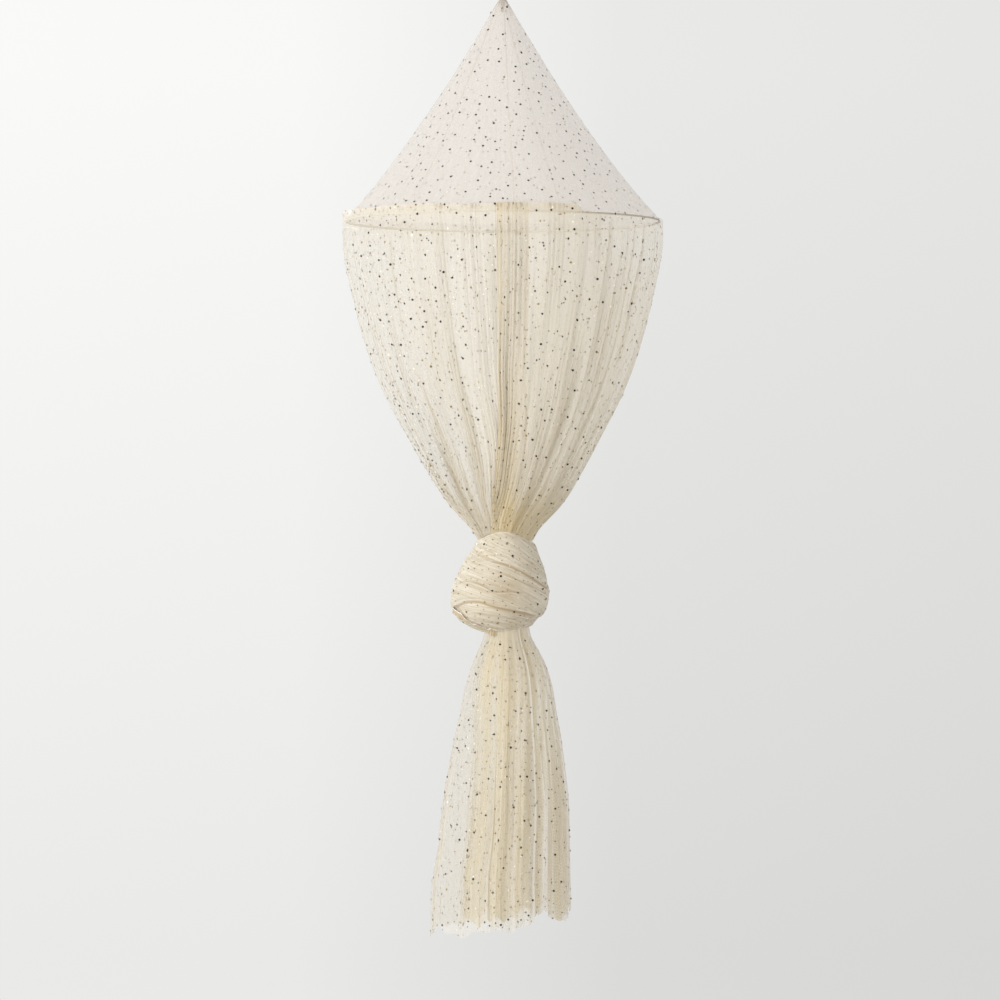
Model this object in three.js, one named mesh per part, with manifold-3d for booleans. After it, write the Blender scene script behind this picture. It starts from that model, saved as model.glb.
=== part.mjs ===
// Bed crown canopy: sheer gathered curtains on a hoop, hung from one ceiling hook and tied in a large knot.
// Millimetres, +Z up. The origin is the centre of the flat top face that meets the ceiling.
// The front faces -Y, and +X is to the right. A turn is an angle from the front towards the right.

import * as THREE from 'three';
import Module from 'manifold-3d';
import { mergeVertices } from 'three/addons/utils/BufferGeometryUtils.js';

const wasm = await Module();
wasm.setup();

const { lerp: mix, degToRad: radians, clamp, smoothstep } = THREE.MathUtils;

// Ceiling fitting
const padDiameter = 46;
const padThickness = 1;
const plateDiameter = 44;
const plateThickness = 2.4;
const plateBevel = 0.8;
const hookWireDiameter = 3.6;
const hookBendRadius = 7;
const hookDepth = 30;
const hookStemLength = 4;
const hookTipLength = 5;
const hookTipBallDiameter = 5.4;

// D-ring and the tape loop over its bar
const ringWireDiameter = 2.4;
const ringInnerWidth = 14;
const ringSideLength = 5;
const ringCornerRadius = 3;
const ringButtGap = 0.5;
const tapeWidth = 10;
const tapeThickness = 0.8;
const tapeLoopLength = 14;
const tapeTailLength = 20;

// Neck of the cone
const neckRadius = 7;
const neckLength = 22;
const neckTuckLength = 24;
const bindingWall = 1;
const bindingLength = 12;
const bindingTopDrop = 3;

// Cone
const coneHeight = 419;
const clothThickness = 1.2;

// Hoop
const hoopDiameter = 600;
const rodDiameter = 3;
const rodButtGap = 1;
const casingWall = 0.7;
const joinerWall = 0.9;

// Curtains
const curtainLength = 608;
const curtainNeckRadius = 52;
const curtainFoldDepth = 9;
const headingHeight = 14;
const casingCover = 1.5;
const overlapSpacing = 2.2;
const neckLean = 5;

// Knot
const knotHeight = 168;
const knotRadius = 89;
const knotCreaseDepth = 6;
const knotLean = -6;
const flapWidth = 15;
const flapThickness = 1.5;

// Tail
const tailLength = 547;
const tailNeckRadius = 46;
const tailHemRadius = 137;
const tailInnerHemRadius = 100;
const tailFoldDepth = 14;
const tailSkew = 26;
const tailScallop = 10;
const tailInnerShortfall = 16;
const tailTopLean = 9;
const tailHemLean = -3;
const tailOverlapSpacing = 1.7;

// Clearances
const seatGap = 0.3;
const seamGap = 0.3;
const flapGap = 0.8;
const swingGap = 0.4;

// Angles, in degrees
const fullTurnAngle = 360;
const coneFrontSeamAngle = 4;
const coneRightSeamAngle = 153.5;
const coneLeftSeamAngle = 222;
const gorePitchAngle = 7.5;
const tailSwing = 15;
const tailTuckAngle = 3;

// Counts
const foldCount = 26;
const columnsPerFoldCount = 4;
const foldWanderCount = 3;
const foldDepthCount = 5;
const overlapLeftCount = 4;
const overlapRightCount = 1;
const tailFoldCount = 16;
const tailInnerFoldCount = 11;
const tailOverlapCount = 3;
const scallopCount = 7;
const slowScallopCount = 4;
const wireSideCount = 8;
const hoopSideCount = 6;
const hoopStepCount = 56;
const roundSegmentCount = 32;
const casingOpeningCount = 1;
const coneRowCount = 6;
const knotColumnCount = 32;
const knotRowCount = 4;
const flapColumnCount = 10;
const flapRowCount = 2;

// Powers: rows crowd towards the cone's tip, and the knot's creases are sharp
const coneRowPower = 1.2;
const creasePower = 6;

// Shares: each pair is a place along the length, 0 at the top and 1 at the bottom, and a share of the change
const coneStraightShare = 0.86;
const curtainRowShares = [0.05, 0.15, 0.3, 0.46, 0.62, 0.77, 0.9, 1];
const curtainRadiusShares = [
  [0, 1], [0.08, 1], [0.24, 0.93], [0.41, 0.82], [0.54, 0.7], [0.675, 0.53],
  [0.78, 0.39], [0.895, 0.21], [0.967, 0.05], [1, 0],
];
const curtainFoldShares = [[0, 0.45], [0.3, 1], [0.75, 0.8], [1, 0.3]];
const knotRadiusShares = [
  [0, 0.59], [0.17, 0.75], [0.33, 0.9], [0.5, 0.995], [0.66, 1], [0.76, 0.985], [0.86, 0.89], [1, 0.63],
];
const knotLeanShares = [[0, 0], [0.55, 1], [0.8, 1.2], [1, 0]];
const knotFirstCreaseShares = { middle: 0.37, tilt: 0.08 };
const knotSecondCreaseShares = { middle: 0.76, tilt: 0.04 };
const flapShares = { firstTurn: -0.3, lastTurn: -0.14, firstPlace: 0.7, lastPlace: 0.93 };
const tailRowShares = [0.035, 0.11, 0.24, 0.45, 0.72, 1];
const tailFlareShares = [[0, 0], [0.07, 0.22], [0.19, 0.45], [0.5, 0.78], [0.8, 0.945], [1, 1]];
const tailFoldShares = [[0, 0], [0.1, 0.25], [0.35, 0.7], [1, 1]];
const foldWanderShare = 0.18;
const foldDeepShare = 0.72;

// Places worked out from the sizes
const plateTopZ = -padThickness;
const plateBottomZ = plateTopZ - plateThickness;
const ringPivotZ = -hookDepth;
const ringCrownZ = ringPivotZ + (hookWireDiameter + ringWireDiameter) / 2 + seatGap;
const ringArcRadius = (ringInnerWidth + ringWireDiameter) / 2;
const ringArcCentreZ = ringCrownZ - ringArcRadius;
const tapePivotZ = ringArcCentreZ - ringSideLength - ringCornerRadius;
const neckTopZ = tapePivotZ - tapeLoopLength;
const coneTopZ = neckTopZ - neckLength;
const coneBottomZ = coneTopZ - coneHeight;
const rodRadius = rodDiameter / 2;
const hoopRadius = hoopDiameter / 2 - rodRadius;
const casingBore = rodRadius + seatGap;
const casingRadius = casingBore + casingWall;
const hoopZ = coneBottomZ - casingRadius - seatGap;
const coneBottomRadius = hoopRadius + clothThickness / 2;
const curtainTopFold = foldDeepShare * curtainFoldDepth * curtainFoldShares[0][1];
const curtainTopRadius = hoopRadius + casingRadius + 2 * seatGap + clothThickness + curtainTopFold;
const knotTopZ = hoopZ - curtainLength - seatGap;
const knotBottomZ = knotTopZ - knotHeight;
const tailPivotZ = knotBottomZ - tailNeckRadius * Math.sin(radians(tailSwing));
const facetShare = Math.cos(Math.PI / knotColumnCount);
const knotRimRadius = (tailNeckRadius * Math.cos(radians(tailSwing)) + swingGap) / facetShare;
const knotCoreRadius = (knotRimRadius - seatGap) * facetShare;
const tuckTopAngle = radians(2 * tailSwing + tailTuckAngle);
const coreBottomZ = tailPivotZ + tailNeckRadius * Math.sin(tuckTopAngle) + swingGap;

// Materials
const cloth = (colour, roughness = 0.85) =>
  new THREE.MeshStandardMaterial({ color: colour, roughness, metalness: 0, side: THREE.DoubleSide });
const metal = (colour, roughness) =>
  new THREE.MeshStandardMaterial({ color: colour, roughness, metalness: 1 });
const materials = {
  pad: new THREE.MeshStandardMaterial({ color: '#dcdcd8', roughness: 0.9, metalness: 0 }),
  white: new THREE.MeshStandardMaterial({ color: '#f1f0ec', roughness: 0.45, metalness: 0 }),
  steel: metal('#b9bbbd', 0.3),
  rod: metal('#6f6f70', 0.45),
  joiner: new THREE.MeshStandardMaterial({ color: '#cfcfcb', roughness: 0.4, metalness: 0 }),
  tape: cloth('#efe8d8', 0.8),
  cone: cloth('#e9e2da'),
  curtain: cloth('#dcd0b0'),
  knot: cloth('#dccfa9'),
  tail: cloth('#e2d7b6'),
};

const canopy = new THREE.Group();

function add(name, geometry, material) {
  const mesh = new THREE.Mesh(geometry, material);
  mesh.name = name;
  canopy.add(mesh);
  return mesh;
}

// Shared helpers
const onShape = (turn, radius, lean, z) =>
  new THREE.Vector3(lean + radius * Math.sin(turn), -radius * Math.cos(turn), z);

// A smooth curve through a table of [place, value], for one place
function valueAt(table, place) {
  const last = table.length - 1;
  const next = Math.min(Math.max(table.findIndex(([at]) => at >= place), 1), last);
  const slope = (i) => {
    const before = table[Math.max(i - 1, 0)];
    const after = table[Math.min(i + 1, last)];
    return (after[1] - before[1]) / (after[0] - before[0]);
  };
  const [fromPlace, fromValue] = table[next - 1];
  const [toPlace, toValue] = table[next];
  const span = toPlace - fromPlace;
  const s = clamp((place - fromPlace) / span, 0, 1);
  const a = fromValue * (1 + 2 * s) * (1 - s) ** 2 + toValue * s ** 2 * (3 - 2 * s);
  return a + span * (slope(next - 1) * s * (1 - s) ** 2 - slope(next) * s ** 2 * (1 - s));
}

// How far the cloth stands out at a turn: 0 in the deepest valley, 1 on a crest
function foldAt(turn, folds) {
  const wander = foldWanderShare * Math.PI * Math.sin(foldWanderCount * turn);
  const depth = mix(foldDeepShare, 1, Math.sin(foldDepthCount * turn) ** 2);
  return 1 - depth * Math.sin((folds / 2) * turn + wander) ** 2;
}

function closedGeometry(points, triangles) {
  const geometry = new THREE.BufferGeometry();
  geometry.setAttribute('position', new THREE.Float32BufferAttribute(points.flatMap((p) => p.toArray()), 3));
  const volume = triangles.reduce(
    (sum, [a, b, c]) => sum + points[a].dot(new THREE.Vector3().crossVectors(points[b], points[c])), 0);
  const outward = volume < 0 ? triangles.map(([a, b, c]) => [a, c, b]) : triangles;
  geometry.setIndex(outward.flat());
  geometry.computeVertexNormals();
  return geometry;
}

// A wall between an outer and an inner surface, each given by (column, row)
// A round one joins its last column to its first
function wallSolid(columns, rows, outer, inner, round = false) {
  const points = [];
  const triangles = [];
  const across = round ? columns : columns + 1;
  for (const surface of [outer, inner]) {
    for (let row = 0; row <= rows; row += 1) {
      for (let column = 0; column < across; column += 1) {
        points.push(surface(column, row));
      }
    }
  }
  const index = (side, column, row) => (side * (rows + 1) + row) * across + (column % across);
  const quad = (a, b, c, d) => triangles.push([a, b, c], [a, c, d]);
  for (let row = 0; row < rows; row += 1) {
    for (let column = 0; column < columns; column += 1) {
      const corners = (side) => [
        index(side, column, row), index(side, column, row + 1),
        index(side, column + 1, row + 1), index(side, column + 1, row),
      ];
      const [nearTop, nearBottom, farBottom, farTop] = corners(1);
      quad(...corners(0));
      quad(nearTop, farTop, farBottom, nearBottom);
    }
  }
  const rim = (from, to) => quad(index(0, ...from), index(0, ...to), index(1, ...to), index(1, ...from));
  for (let column = 0; column < columns; column += 1) {
    rim([column, 0], [column + 1, 0]);
    quad(...[[0, column], [1, column], [1, column + 1], [0, column + 1]]
      .map(([side, at]) => index(side, at, rows)));
  }
  if (!round) {
    for (let row = 0; row < rows; row += 1) {
      rim([0, row + 1], [0, row]);
      rim([columns, row], [columns, row + 1]);
    }
  }
  return closedGeometry(points, triangles);
}

// An arc in the plane of two unit vectors
class Arc extends THREE.Curve {
  constructor(centre, radius, first, second, from, to) {
    super();
    Object.assign(this, { centre, radius, first, second, from, to });
  }

  getPoint(t, target = new THREE.Vector3()) {
    const angle = mix(this.from, this.to, t);
    return target.copy(this.centre)
      .addScaledVector(this.first, this.radius * Math.cos(angle))
      .addScaledVector(this.second, this.radius * Math.sin(angle));
  }
}

const axisX = new THREE.Vector3(1, 0, 0);
const axisY = new THREE.Vector3(0, 1, 0);
const axisZ = new THREE.Vector3(0, 0, 1);

function roundSection(radius, sides, bore = 0) {
  const corners = (r) => Array.from({ length: sides }, (_, i) =>
    new THREE.Vector2(r * Math.cos((2 * Math.PI * i) / sides), r * Math.sin((2 * Math.PI * i) / sides)));
  const section = new THREE.Shape(corners(radius));
  if (bore > 0) {
    section.holes.push(new THREE.Path(corners(bore)));
  }
  return section;
}

const along = (path, section, steps) =>
  new THREE.ExtrudeGeometry(section, { steps, bevelEnabled: false, extrudePath: path });

function toSolid(geometry) {
  const bare = geometry.clone();
  bare.deleteAttribute('normal');
  bare.deleteAttribute('uv');
  const merged = mergeVertices(bare);
  return new wasm.Manifold(new wasm.Mesh({
    numProp: 3,
    vertProperties: new Float32Array(merged.attributes.position.array),
    triVerts: new Uint32Array(merged.index.array),
  }));
}

function fromSolid(solid) {
  const mesh = solid.getMesh();
  const geometry = new THREE.BufferGeometry();
  geometry.setAttribute('position', new THREE.Float32BufferAttribute(mesh.vertProperties, 3));
  geometry.setIndex(Array.from(mesh.triVerts));
  geometry.computeVertexNormals();
  return geometry;
}

const turned = (profile) =>
  new THREE.LatheGeometry(profile.map(([radius, z]) => new THREE.Vector2(radius, z)), roundSegmentCount)
    .rotateX(Math.PI / 2);

// Ceiling fitting
function adhesivePad() {
  return new THREE.CylinderGeometry(padDiameter / 2, padDiameter / 2, padThickness, roundSegmentCount)
    .rotateX(Math.PI / 2)
    .translate(0, 0, -padThickness / 2);
}

function ceilingPlate() {
  const radius = plateDiameter / 2;
  return turned([
    [0, plateTopZ],
    [0, plateBottomZ],
    [radius - plateBevel, plateBottomZ],
    [radius, plateBottomZ + plateBevel],
    [radius, plateTopZ],
    [0, plateTopZ],
  ]);
}

function hook() {
  const bendCentre = new THREE.Vector3(0, 0, ringPivotZ + hookBendRadius);
  const stemEnd = new THREE.Vector3(0, 0, plateBottomZ - hookStemLength);
  const backOfBend = bendCentre.clone().addScaledVector(axisY, hookBendRadius);
  const frontOfBend = bendCentre.clone().addScaledVector(axisY, -hookBendRadius);
  const tip = frontOfBend.clone().addScaledVector(axisZ, hookTipLength);
  const halfDrop = (stemEnd.z - backOfBend.z) / 2;
  const path = new THREE.CurvePath();
  path.add(new THREE.LineCurve3(new THREE.Vector3(0, 0, plateBottomZ), stemEnd));
  path.add(new THREE.CubicBezierCurve3(
    stemEnd,
    stemEnd.clone().addScaledVector(axisZ, -halfDrop),
    backOfBend.clone().addScaledVector(axisZ, halfDrop),
    backOfBend,
  ));
  path.add(new Arc(bendCentre, hookBendRadius, axisY, axisZ, 0, -Math.PI));
  path.add(new THREE.LineCurve3(frontOfBend, tip));
  const wire = along(path, roundSection(hookWireDiameter / 2, wireSideCount), roundSegmentCount);
  const ball = new THREE.SphereGeometry(hookTipBallDiameter / 2, 2 * wireSideCount, wireSideCount)
    .translate(tip.x, tip.y, tip.z);
  return fromSolid(toSolid(wire).add(toSolid(ball)));
}

function dRing() {
  const barHalf = ringArcRadius - ringCornerRadius;
  const cornerZ = tapePivotZ + ringCornerRadius;
  const path = new THREE.CurvePath();
  const barEnd = (side) => new THREE.Vector3(side * ringButtGap / 2, 0, tapePivotZ);
  const barCorner = (side) => new THREE.Vector3(side * barHalf, 0, tapePivotZ);
  const sideFoot = (side) => new THREE.Vector3(side * ringArcRadius, 0, cornerZ);
  const sideHead = (side) => new THREE.Vector3(side * ringArcRadius, 0, ringArcCentreZ);
  const cornerCentre = (side) => new THREE.Vector3(side * barHalf, 0, cornerZ);
  path.add(new THREE.LineCurve3(barEnd(1), barCorner(1)));
  path.add(new Arc(cornerCentre(1), ringCornerRadius, axisX, axisZ, -Math.PI / 2, 0));
  path.add(new THREE.LineCurve3(sideFoot(1), sideHead(1)));
  path.add(new Arc(new THREE.Vector3(0, 0, ringArcCentreZ), ringArcRadius, axisX, axisZ, 0, Math.PI));
  path.add(new THREE.LineCurve3(sideHead(-1), sideFoot(-1)));
  path.add(new Arc(cornerCentre(-1), ringCornerRadius, axisX, axisZ, Math.PI, 1.5 * Math.PI));
  path.add(new THREE.LineCurve3(barCorner(-1), barEnd(-1)));
  return along(path, roundSection(ringWireDiameter / 2, wireSideCount), roundSegmentCount);
}

// Outline in the Y-Z plane: over the bar, then both plies down to the end sewn into the neck
function hangingTape() {
  const boreRadius = ringWireDiameter / 2 + seatGap;
  const loopRadius = boreRadius + tapeThickness;
  const joinZ = neckTopZ + tapeThickness;
  const endZ = neckTopZ - tapeTailLength;
  const outline = new THREE.Shape();
  outline.moveTo(tapeThickness, endZ);
  outline.lineTo(tapeThickness, joinZ);
  outline.lineTo(loopRadius, tapePivotZ);
  outline.absarc(0, tapePivotZ, loopRadius, 0, Math.PI, false);
  outline.lineTo(-tapeThickness, joinZ);
  outline.lineTo(-tapeThickness, endZ);
  const eye = new THREE.Path();
  eye.moveTo(0, joinZ + tapeThickness);
  eye.lineTo(boreRadius, tapePivotZ);
  eye.absarc(0, tapePivotZ, boreRadius, 0, Math.PI, false);
  eye.lineTo(0, joinZ + tapeThickness);
  outline.holes.push(eye);
  const settings = { depth: tapeWidth, bevelEnabled: false, curveSegments: wireSideCount };
  return new THREE.ExtrudeGeometry(outline, settings)
    .translate(0, 0, -tapeWidth / 2)
    .applyMatrix4(new THREE.Matrix4().makeBasis(axisY, axisZ, axisX));
}

// Cone
function coneRadiusAt(z) {
  const t = (coneTopZ - z) / coneHeight;
  return mix(neckRadius, coneBottomRadius, coneStraightShare * t + (1 - coneStraightShare) * t ** 3);
}

function neckGather() {
  const tuckRadius = (z) => coneRadiusAt(z) - clothThickness - seatGap;
  const shoulderZ = coneTopZ + seatGap;
  const tuckMiddleZ = coneTopZ - neckTuckLength / 2;
  const tuckEndZ = coneTopZ - neckTuckLength;
  const bunch = turned([
    [0, neckTopZ],
    [0, tuckEndZ],
    [tuckRadius(tuckEndZ) - seatGap, tuckEndZ],
    [tuckRadius(tuckMiddleZ) - seatGap, tuckMiddleZ],
    [tuckRadius(coneTopZ), shoulderZ],
    [neckRadius, shoulderZ],
    [neckRadius, neckTopZ],
    [0, neckTopZ],
  ]);
  const slotDepth = tapeTailLength + seatGap;
  const slot = new THREE.BoxGeometry(tapeWidth + 2 * seatGap, 2 * (tapeThickness + seatGap), 2 * slotDepth)
    .translate(0, 0, neckTopZ);
  return fromSolid(toSolid(bunch).subtract(toSolid(slot)));
}

function neckBinding() {
  const bore = neckRadius + seatGap;
  const topZ = neckTopZ - bindingTopDrop;
  const bottomZ = topZ - bindingLength;
  return turned([
    [bore, topZ],
    [bore, bottomZ],
    [bore + bindingWall, bottomZ],
    [bore + bindingWall, topZ],
    [bore, topZ],
  ]);
}

function coneGore(fromDegrees, toDegrees) {
  const columns = Math.round((toDegrees - fromDegrees) / gorePitchAngle);
  const surface = (inset) => (column, row) => {
    const t = (row / coneRowCount) ** coneRowPower;
    const z = coneTopZ - coneHeight * t;
    const outerRadius = coneRadiusAt(z);
    const edge = seamGap / 2 / outerRadius;
    const turn = mix(radians(fromDegrees) + edge, radians(toDegrees) - edge, column / columns);
    return onShape(turn, outerRadius - inset, 0, z);
  };
  return wallSolid(columns, coneRowCount, surface(0), surface(clothThickness));
}

// Hoop: the rod, its joiner and the casing share their angular steps, so that their faces stay parallel
function hoopArc(fromTurn, toTurn) {
  const front = axisY.clone().negate();
  return new Arc(new THREE.Vector3(0, 0, hoopZ), hoopRadius, front, axisX, fromTurn, toTurn);
}

const hoopStep = (2 * Math.PI) / hoopStepCount;
const backTurn = Math.PI;

function hoopRod() {
  const halfGap = rodButtGap / 2 / hoopRadius;
  const arc = hoopArc(backTurn + halfGap, backTurn + 2 * Math.PI - halfGap);
  return along(arc, roundSection(rodRadius, hoopSideCount), hoopStepCount);
}

function hoopJoiner() {
  const half = casingOpeningCount * hoopStep - seatGap / hoopRadius;
  const arc = hoopArc(backTurn - half, backTurn + half);
  return along(arc, roundSection(rodRadius + seatGap + joinerWall, hoopSideCount, rodRadius + seatGap),
    2 * casingOpeningCount);
}

function hoopCasing() {
  const half = casingOpeningCount * hoopStep;
  const arc = hoopArc(backTurn + half, backTurn + 2 * Math.PI - half);
  const steps = hoopStepCount - 2 * casingOpeningCount;
  return along(arc, roundSection(casingRadius, hoopSideCount, casingBore), steps);
}

// Curtains
const curtainStep = (2 * Math.PI) / (foldCount * columnsPerFoldCount);
const curtainLeftEdge = overlapLeftCount * curtainStep;
const curtainRightEdge = -overlapRightCount * curtainStep;

// The outermost radius of the cloth at a height, and the depth of its folds there
const curtainPlace = (z) => clamp((hoopZ - z) / curtainLength, 0, 1);
const curtainRadiusAt = (z) =>
  mix(curtainNeckRadius, curtainTopRadius, valueAt(curtainRadiusShares, curtainPlace(z)));
const curtainFoldAt = (z) => curtainFoldDepth * valueAt(curtainFoldShares, curtainPlace(z));
const curtainLeanAt = (z) => neckLean * curtainPlace(z) ** 2;

// The right panel lies over the left one at the front and comes back to the common surface beside it
const overlapLift = (turn) =>
  overlapSpacing * (1 - smoothstep(turn, curtainLeftEdge, 2 * curtainLeftEdge));

function curtain(fromTurn, columns, topZ, lifted, edgeGaps) {
  const rowHeights = [topZ, hoopZ, ...curtainRowShares.map((share) => hoopZ - share * curtainLength)]
    .filter((z, i, all) => i === 0 || z < all[0] - casingCover);
  const rows = rowHeights.length - 1;
  const surface = (inset) => (column, row) => {
    const z = rowHeights[row];
    const turn = fromTurn + column * curtainStep;
    const crest = curtainRadiusAt(z);
    const lift = lifted ? overlapLift(turn) : 0;
    const radius = crest - curtainFoldAt(z) * (1 - foldAt(turn, foldCount)) + lift;
    const pull = seamGap / 2 / crest;
    const atSeam = (column === 0 && edgeGaps.first) || (column === columns && edgeGaps.last);
    const pulled = turn + (atSeam ? Math.sign(columns / 2 - column) * pull : 0);
    return onShape(pulled, radius - inset, curtainLeanAt(z), z);
  };
  return wallSolid(columns, rows, surface(0), surface(clothThickness));
}

const halfRoundColumns = (foldCount * columnsPerFoldCount) / 2;

function curtainLeft() {
  const columns = halfRoundColumns + overlapLeftCount;
  return curtain(-Math.PI, columns, hoopZ + headingHeight, false, { first: true });
}

function curtainRight() {
  const columns = halfRoundColumns + overlapRightCount;
  return curtain(curtainRightEdge, columns, hoopZ + casingCover, true, { last: true });
}

// Knot
const knotZ = (share) => knotTopZ - share * knotHeight;
const knotOuterAt = (share) => knotRadius * valueAt(knotRadiusShares, share);
const knotLeanAt = (share) =>
  mix(mix(neckLean, tailTopLean, share), knotLean, valueAt(knotLeanShares, share));

function knotCore() {
  return turned([
    [0, knotTopZ],
    [0, coreBottomZ],
    [knotCoreRadius, coreBottomZ],
    [knotCoreRadius, knotTopZ],
    [0, knotTopZ],
  ]).translate(tailTopLean, 0, 0);
}

const creaseAt = ({ middle, tilt }) => (turn) => middle + tilt * Math.sin(turn);
const knotTopEdge = () => 0;
const firstCrease = creaseAt(knotFirstCreaseShares);
const secondCrease = creaseAt(knotSecondCreaseShares);
const knotBottomEdge = () => 1;

// One turn of bunched cloth round the core, between two edges; creased says at which edges it draws in
function knotWrap(upperEdge, lowerEdge, creased) {
  const step = (2 * Math.PI) / knotColumnCount;
  const half = seatGap / 2 / knotHeight;
  const place = (turn, row) => mix(
    upperEdge(turn) + (creased.top ? half : 0),
    lowerEdge(turn) - (creased.bottom ? half : 0),
    row / knotRowCount,
  );
  const outer = (column, row) => {
    const turn = column * step;
    const share = place(turn, row);
    const across = row / knotRowCount;
    const drawnIn =
      (creased.top ? (1 - across) ** creasePower : 0) + (creased.bottom ? across ** creasePower : 0);
    return onShape(turn, knotOuterAt(share) - knotCreaseDepth * drawnIn, knotLeanAt(share), knotZ(share));
  };
  const inner = (column, row) => {
    const turn = column * step;
    return onShape(turn, knotRimRadius, tailTopLean, knotZ(place(turn, row)));
  };
  return wallSolid(knotColumnCount, knotRowCount, outer, inner, true);
}

function knotEdgeFlap() {
  const surface = (lift) => (column, row) => {
    const across = column / flapColumnCount;
    const turn = 2 * Math.PI * mix(flapShares.firstTurn, flapShares.lastTurn, across);
    const middle = mix(flapShares.firstPlace, flapShares.lastPlace, across);
    const share = middle + (row / flapRowCount - 1 / 2) * (flapWidth / knotHeight);
    return onShape(turn, knotOuterAt(share) + lift, knotLeanAt(share), knotZ(share));
  };
  return wallSolid(flapColumnCount, flapRowCount, surface(flapGap + flapThickness), surface(flapGap));
}

// Tail: a round neck that turns in the knot's underside, and loose folds that flare to a ragged hem
const tailStep = (2 * Math.PI) / (tailFoldCount * columnsPerFoldCount);
const neckAngles = [tailSwing + tailTuckAngle, tailSwing / 2, 0].map(radians);

function hemDrop(turn) {
  const scallop = (tailScallop / 2) * (Math.sin(scallopCount * turn) + Math.cos(slowScallopCount * turn));
  return tailLength - (tailSkew / 2) * Math.sin(turn) + scallop;
}

function tailPoint(turn, row, neckInset, hemRadius, folds, shortfall) {
  if (row < neckAngles.length) {
    const sphere = tailNeckRadius - neckInset;
    const angle = neckAngles[row];
    return onShape(turn, sphere * Math.cos(angle), tailTopLean, tailPivotZ + sphere * Math.sin(angle));
  }
  const place = tailRowShares[row - neckAngles.length];
  const flare = valueAt(tailFlareShares, place);
  const crest = mix(tailNeckRadius, hemRadius, flare) - neckInset;
  const radius = crest - tailFoldDepth * valueAt(tailFoldShares, place) * (1 - foldAt(turn, folds));
  const z = tailPivotZ - place * (hemDrop(turn) - shortfall);
  return onShape(turn, radius, mix(tailTopLean, tailHemLean, place), z);
}

const tailRows = neckAngles.length + tailRowShares.length - 1;

function tailPanel(fromTurn, columns, insetFor, edgeGaps) {
  const surface = (inset) => (column, row) => {
    const turn = fromTurn + column * tailStep;
    const pull = seamGap / 2 / tailNeckRadius;
    const atSeam = (column === 0 && edgeGaps.first) || (column === columns && edgeGaps.last);
    const pulled = turn + (atSeam ? Math.sign(columns / 2 - column) * pull : 0);
    return tailPoint(pulled, row, insetFor(turn) + inset, tailHemRadius, tailFoldCount, 0);
  };
  return wallSolid(columns, tailRows, surface(0), surface(clothThickness));
}

const tailHalfColumns = (tailFoldCount * columnsPerFoldCount) / 2;
const tailOverlapTurn = tailOverlapCount * tailStep;

// The left end tucks under the right one at the front
const tailTuck = (turn) =>
  tailOverlapSpacing * smoothstep(turn, -2 * tailOverlapTurn, -tailOverlapTurn);

const tailLeft = () =>
  tailPanel(-Math.PI, tailHalfColumns + tailOverlapCount, tailTuck, { first: true });

const tailRight = () =>
  tailPanel(-tailOverlapTurn, tailHalfColumns + tailOverlapCount, () => 0, { last: true });

function tailInner() {
  const columns = tailInnerFoldCount * columnsPerFoldCount;
  const step = (2 * Math.PI) / columns;
  const spacing = clothThickness + tailOverlapSpacing + 2 * seatGap;
  const surface = (inset) => (column, row) =>
    tailPoint(
      column * step, row, spacing + inset, tailInnerHemRadius, tailInnerFoldCount, tailInnerShortfall);
  return wallSolid(columns, tailRows, surface(0), surface(clothThickness), true);
}

add('adhesive_pad', adhesivePad(), materials.pad);
add('ceiling_plate', ceilingPlate(), materials.white);
add('hook', hook(), materials.white);
add('d_ring', dRing(), materials.steel);
add('hanging_tape', hangingTape(), materials.tape);
add('neck_gather', neckGather(), materials.cone);
add('neck_binding', neckBinding(), materials.tape);
add('cone_gore_right', coneGore(coneFrontSeamAngle, coneRightSeamAngle), materials.cone);
add('cone_gore_back', coneGore(coneRightSeamAngle, coneLeftSeamAngle), materials.cone);
add('cone_gore_left', coneGore(coneLeftSeamAngle, coneFrontSeamAngle + fullTurnAngle), materials.cone);
add('hoop_rod', hoopRod(), materials.rod);
add('hoop_joiner', hoopJoiner(), materials.joiner);
add('hoop_casing', hoopCasing(), materials.cone);
add('curtain_left', curtainLeft(), materials.curtain);
add('curtain_right', curtainRight(), materials.curtain);
add('knot_core', knotCore(), materials.knot);
add('knot_top_wrap', knotWrap(knotTopEdge, firstCrease, { bottom: true }), materials.knot);
add('knot_middle_wrap', knotWrap(firstCrease, secondCrease, { top: true, bottom: true }), materials.knot);
add('knot_bottom_wrap', knotWrap(secondCrease, knotBottomEdge, { top: true }), materials.knot);
add('knot_edge_flap', knotEdgeFlap(), materials.knot);
add('tail_left', tailLeft(), materials.tail);
add('tail_right', tailRight(), materials.tail);
add('tail_inner', tailInner(), materials.tail);

export default canopy;
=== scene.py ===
# Bed crown canopy: sheer glittered curtains gathered on a hoop, hung from a ceiling hook and tied in one knot.
# Metres, +Z up, the front faces -Y. A turn is an angle from the front towards the right. A place is a share of
# the way down a piece, from 0 at its top to 1 at its bottom.

from math import cos, pi, radians, sin, tau

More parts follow.
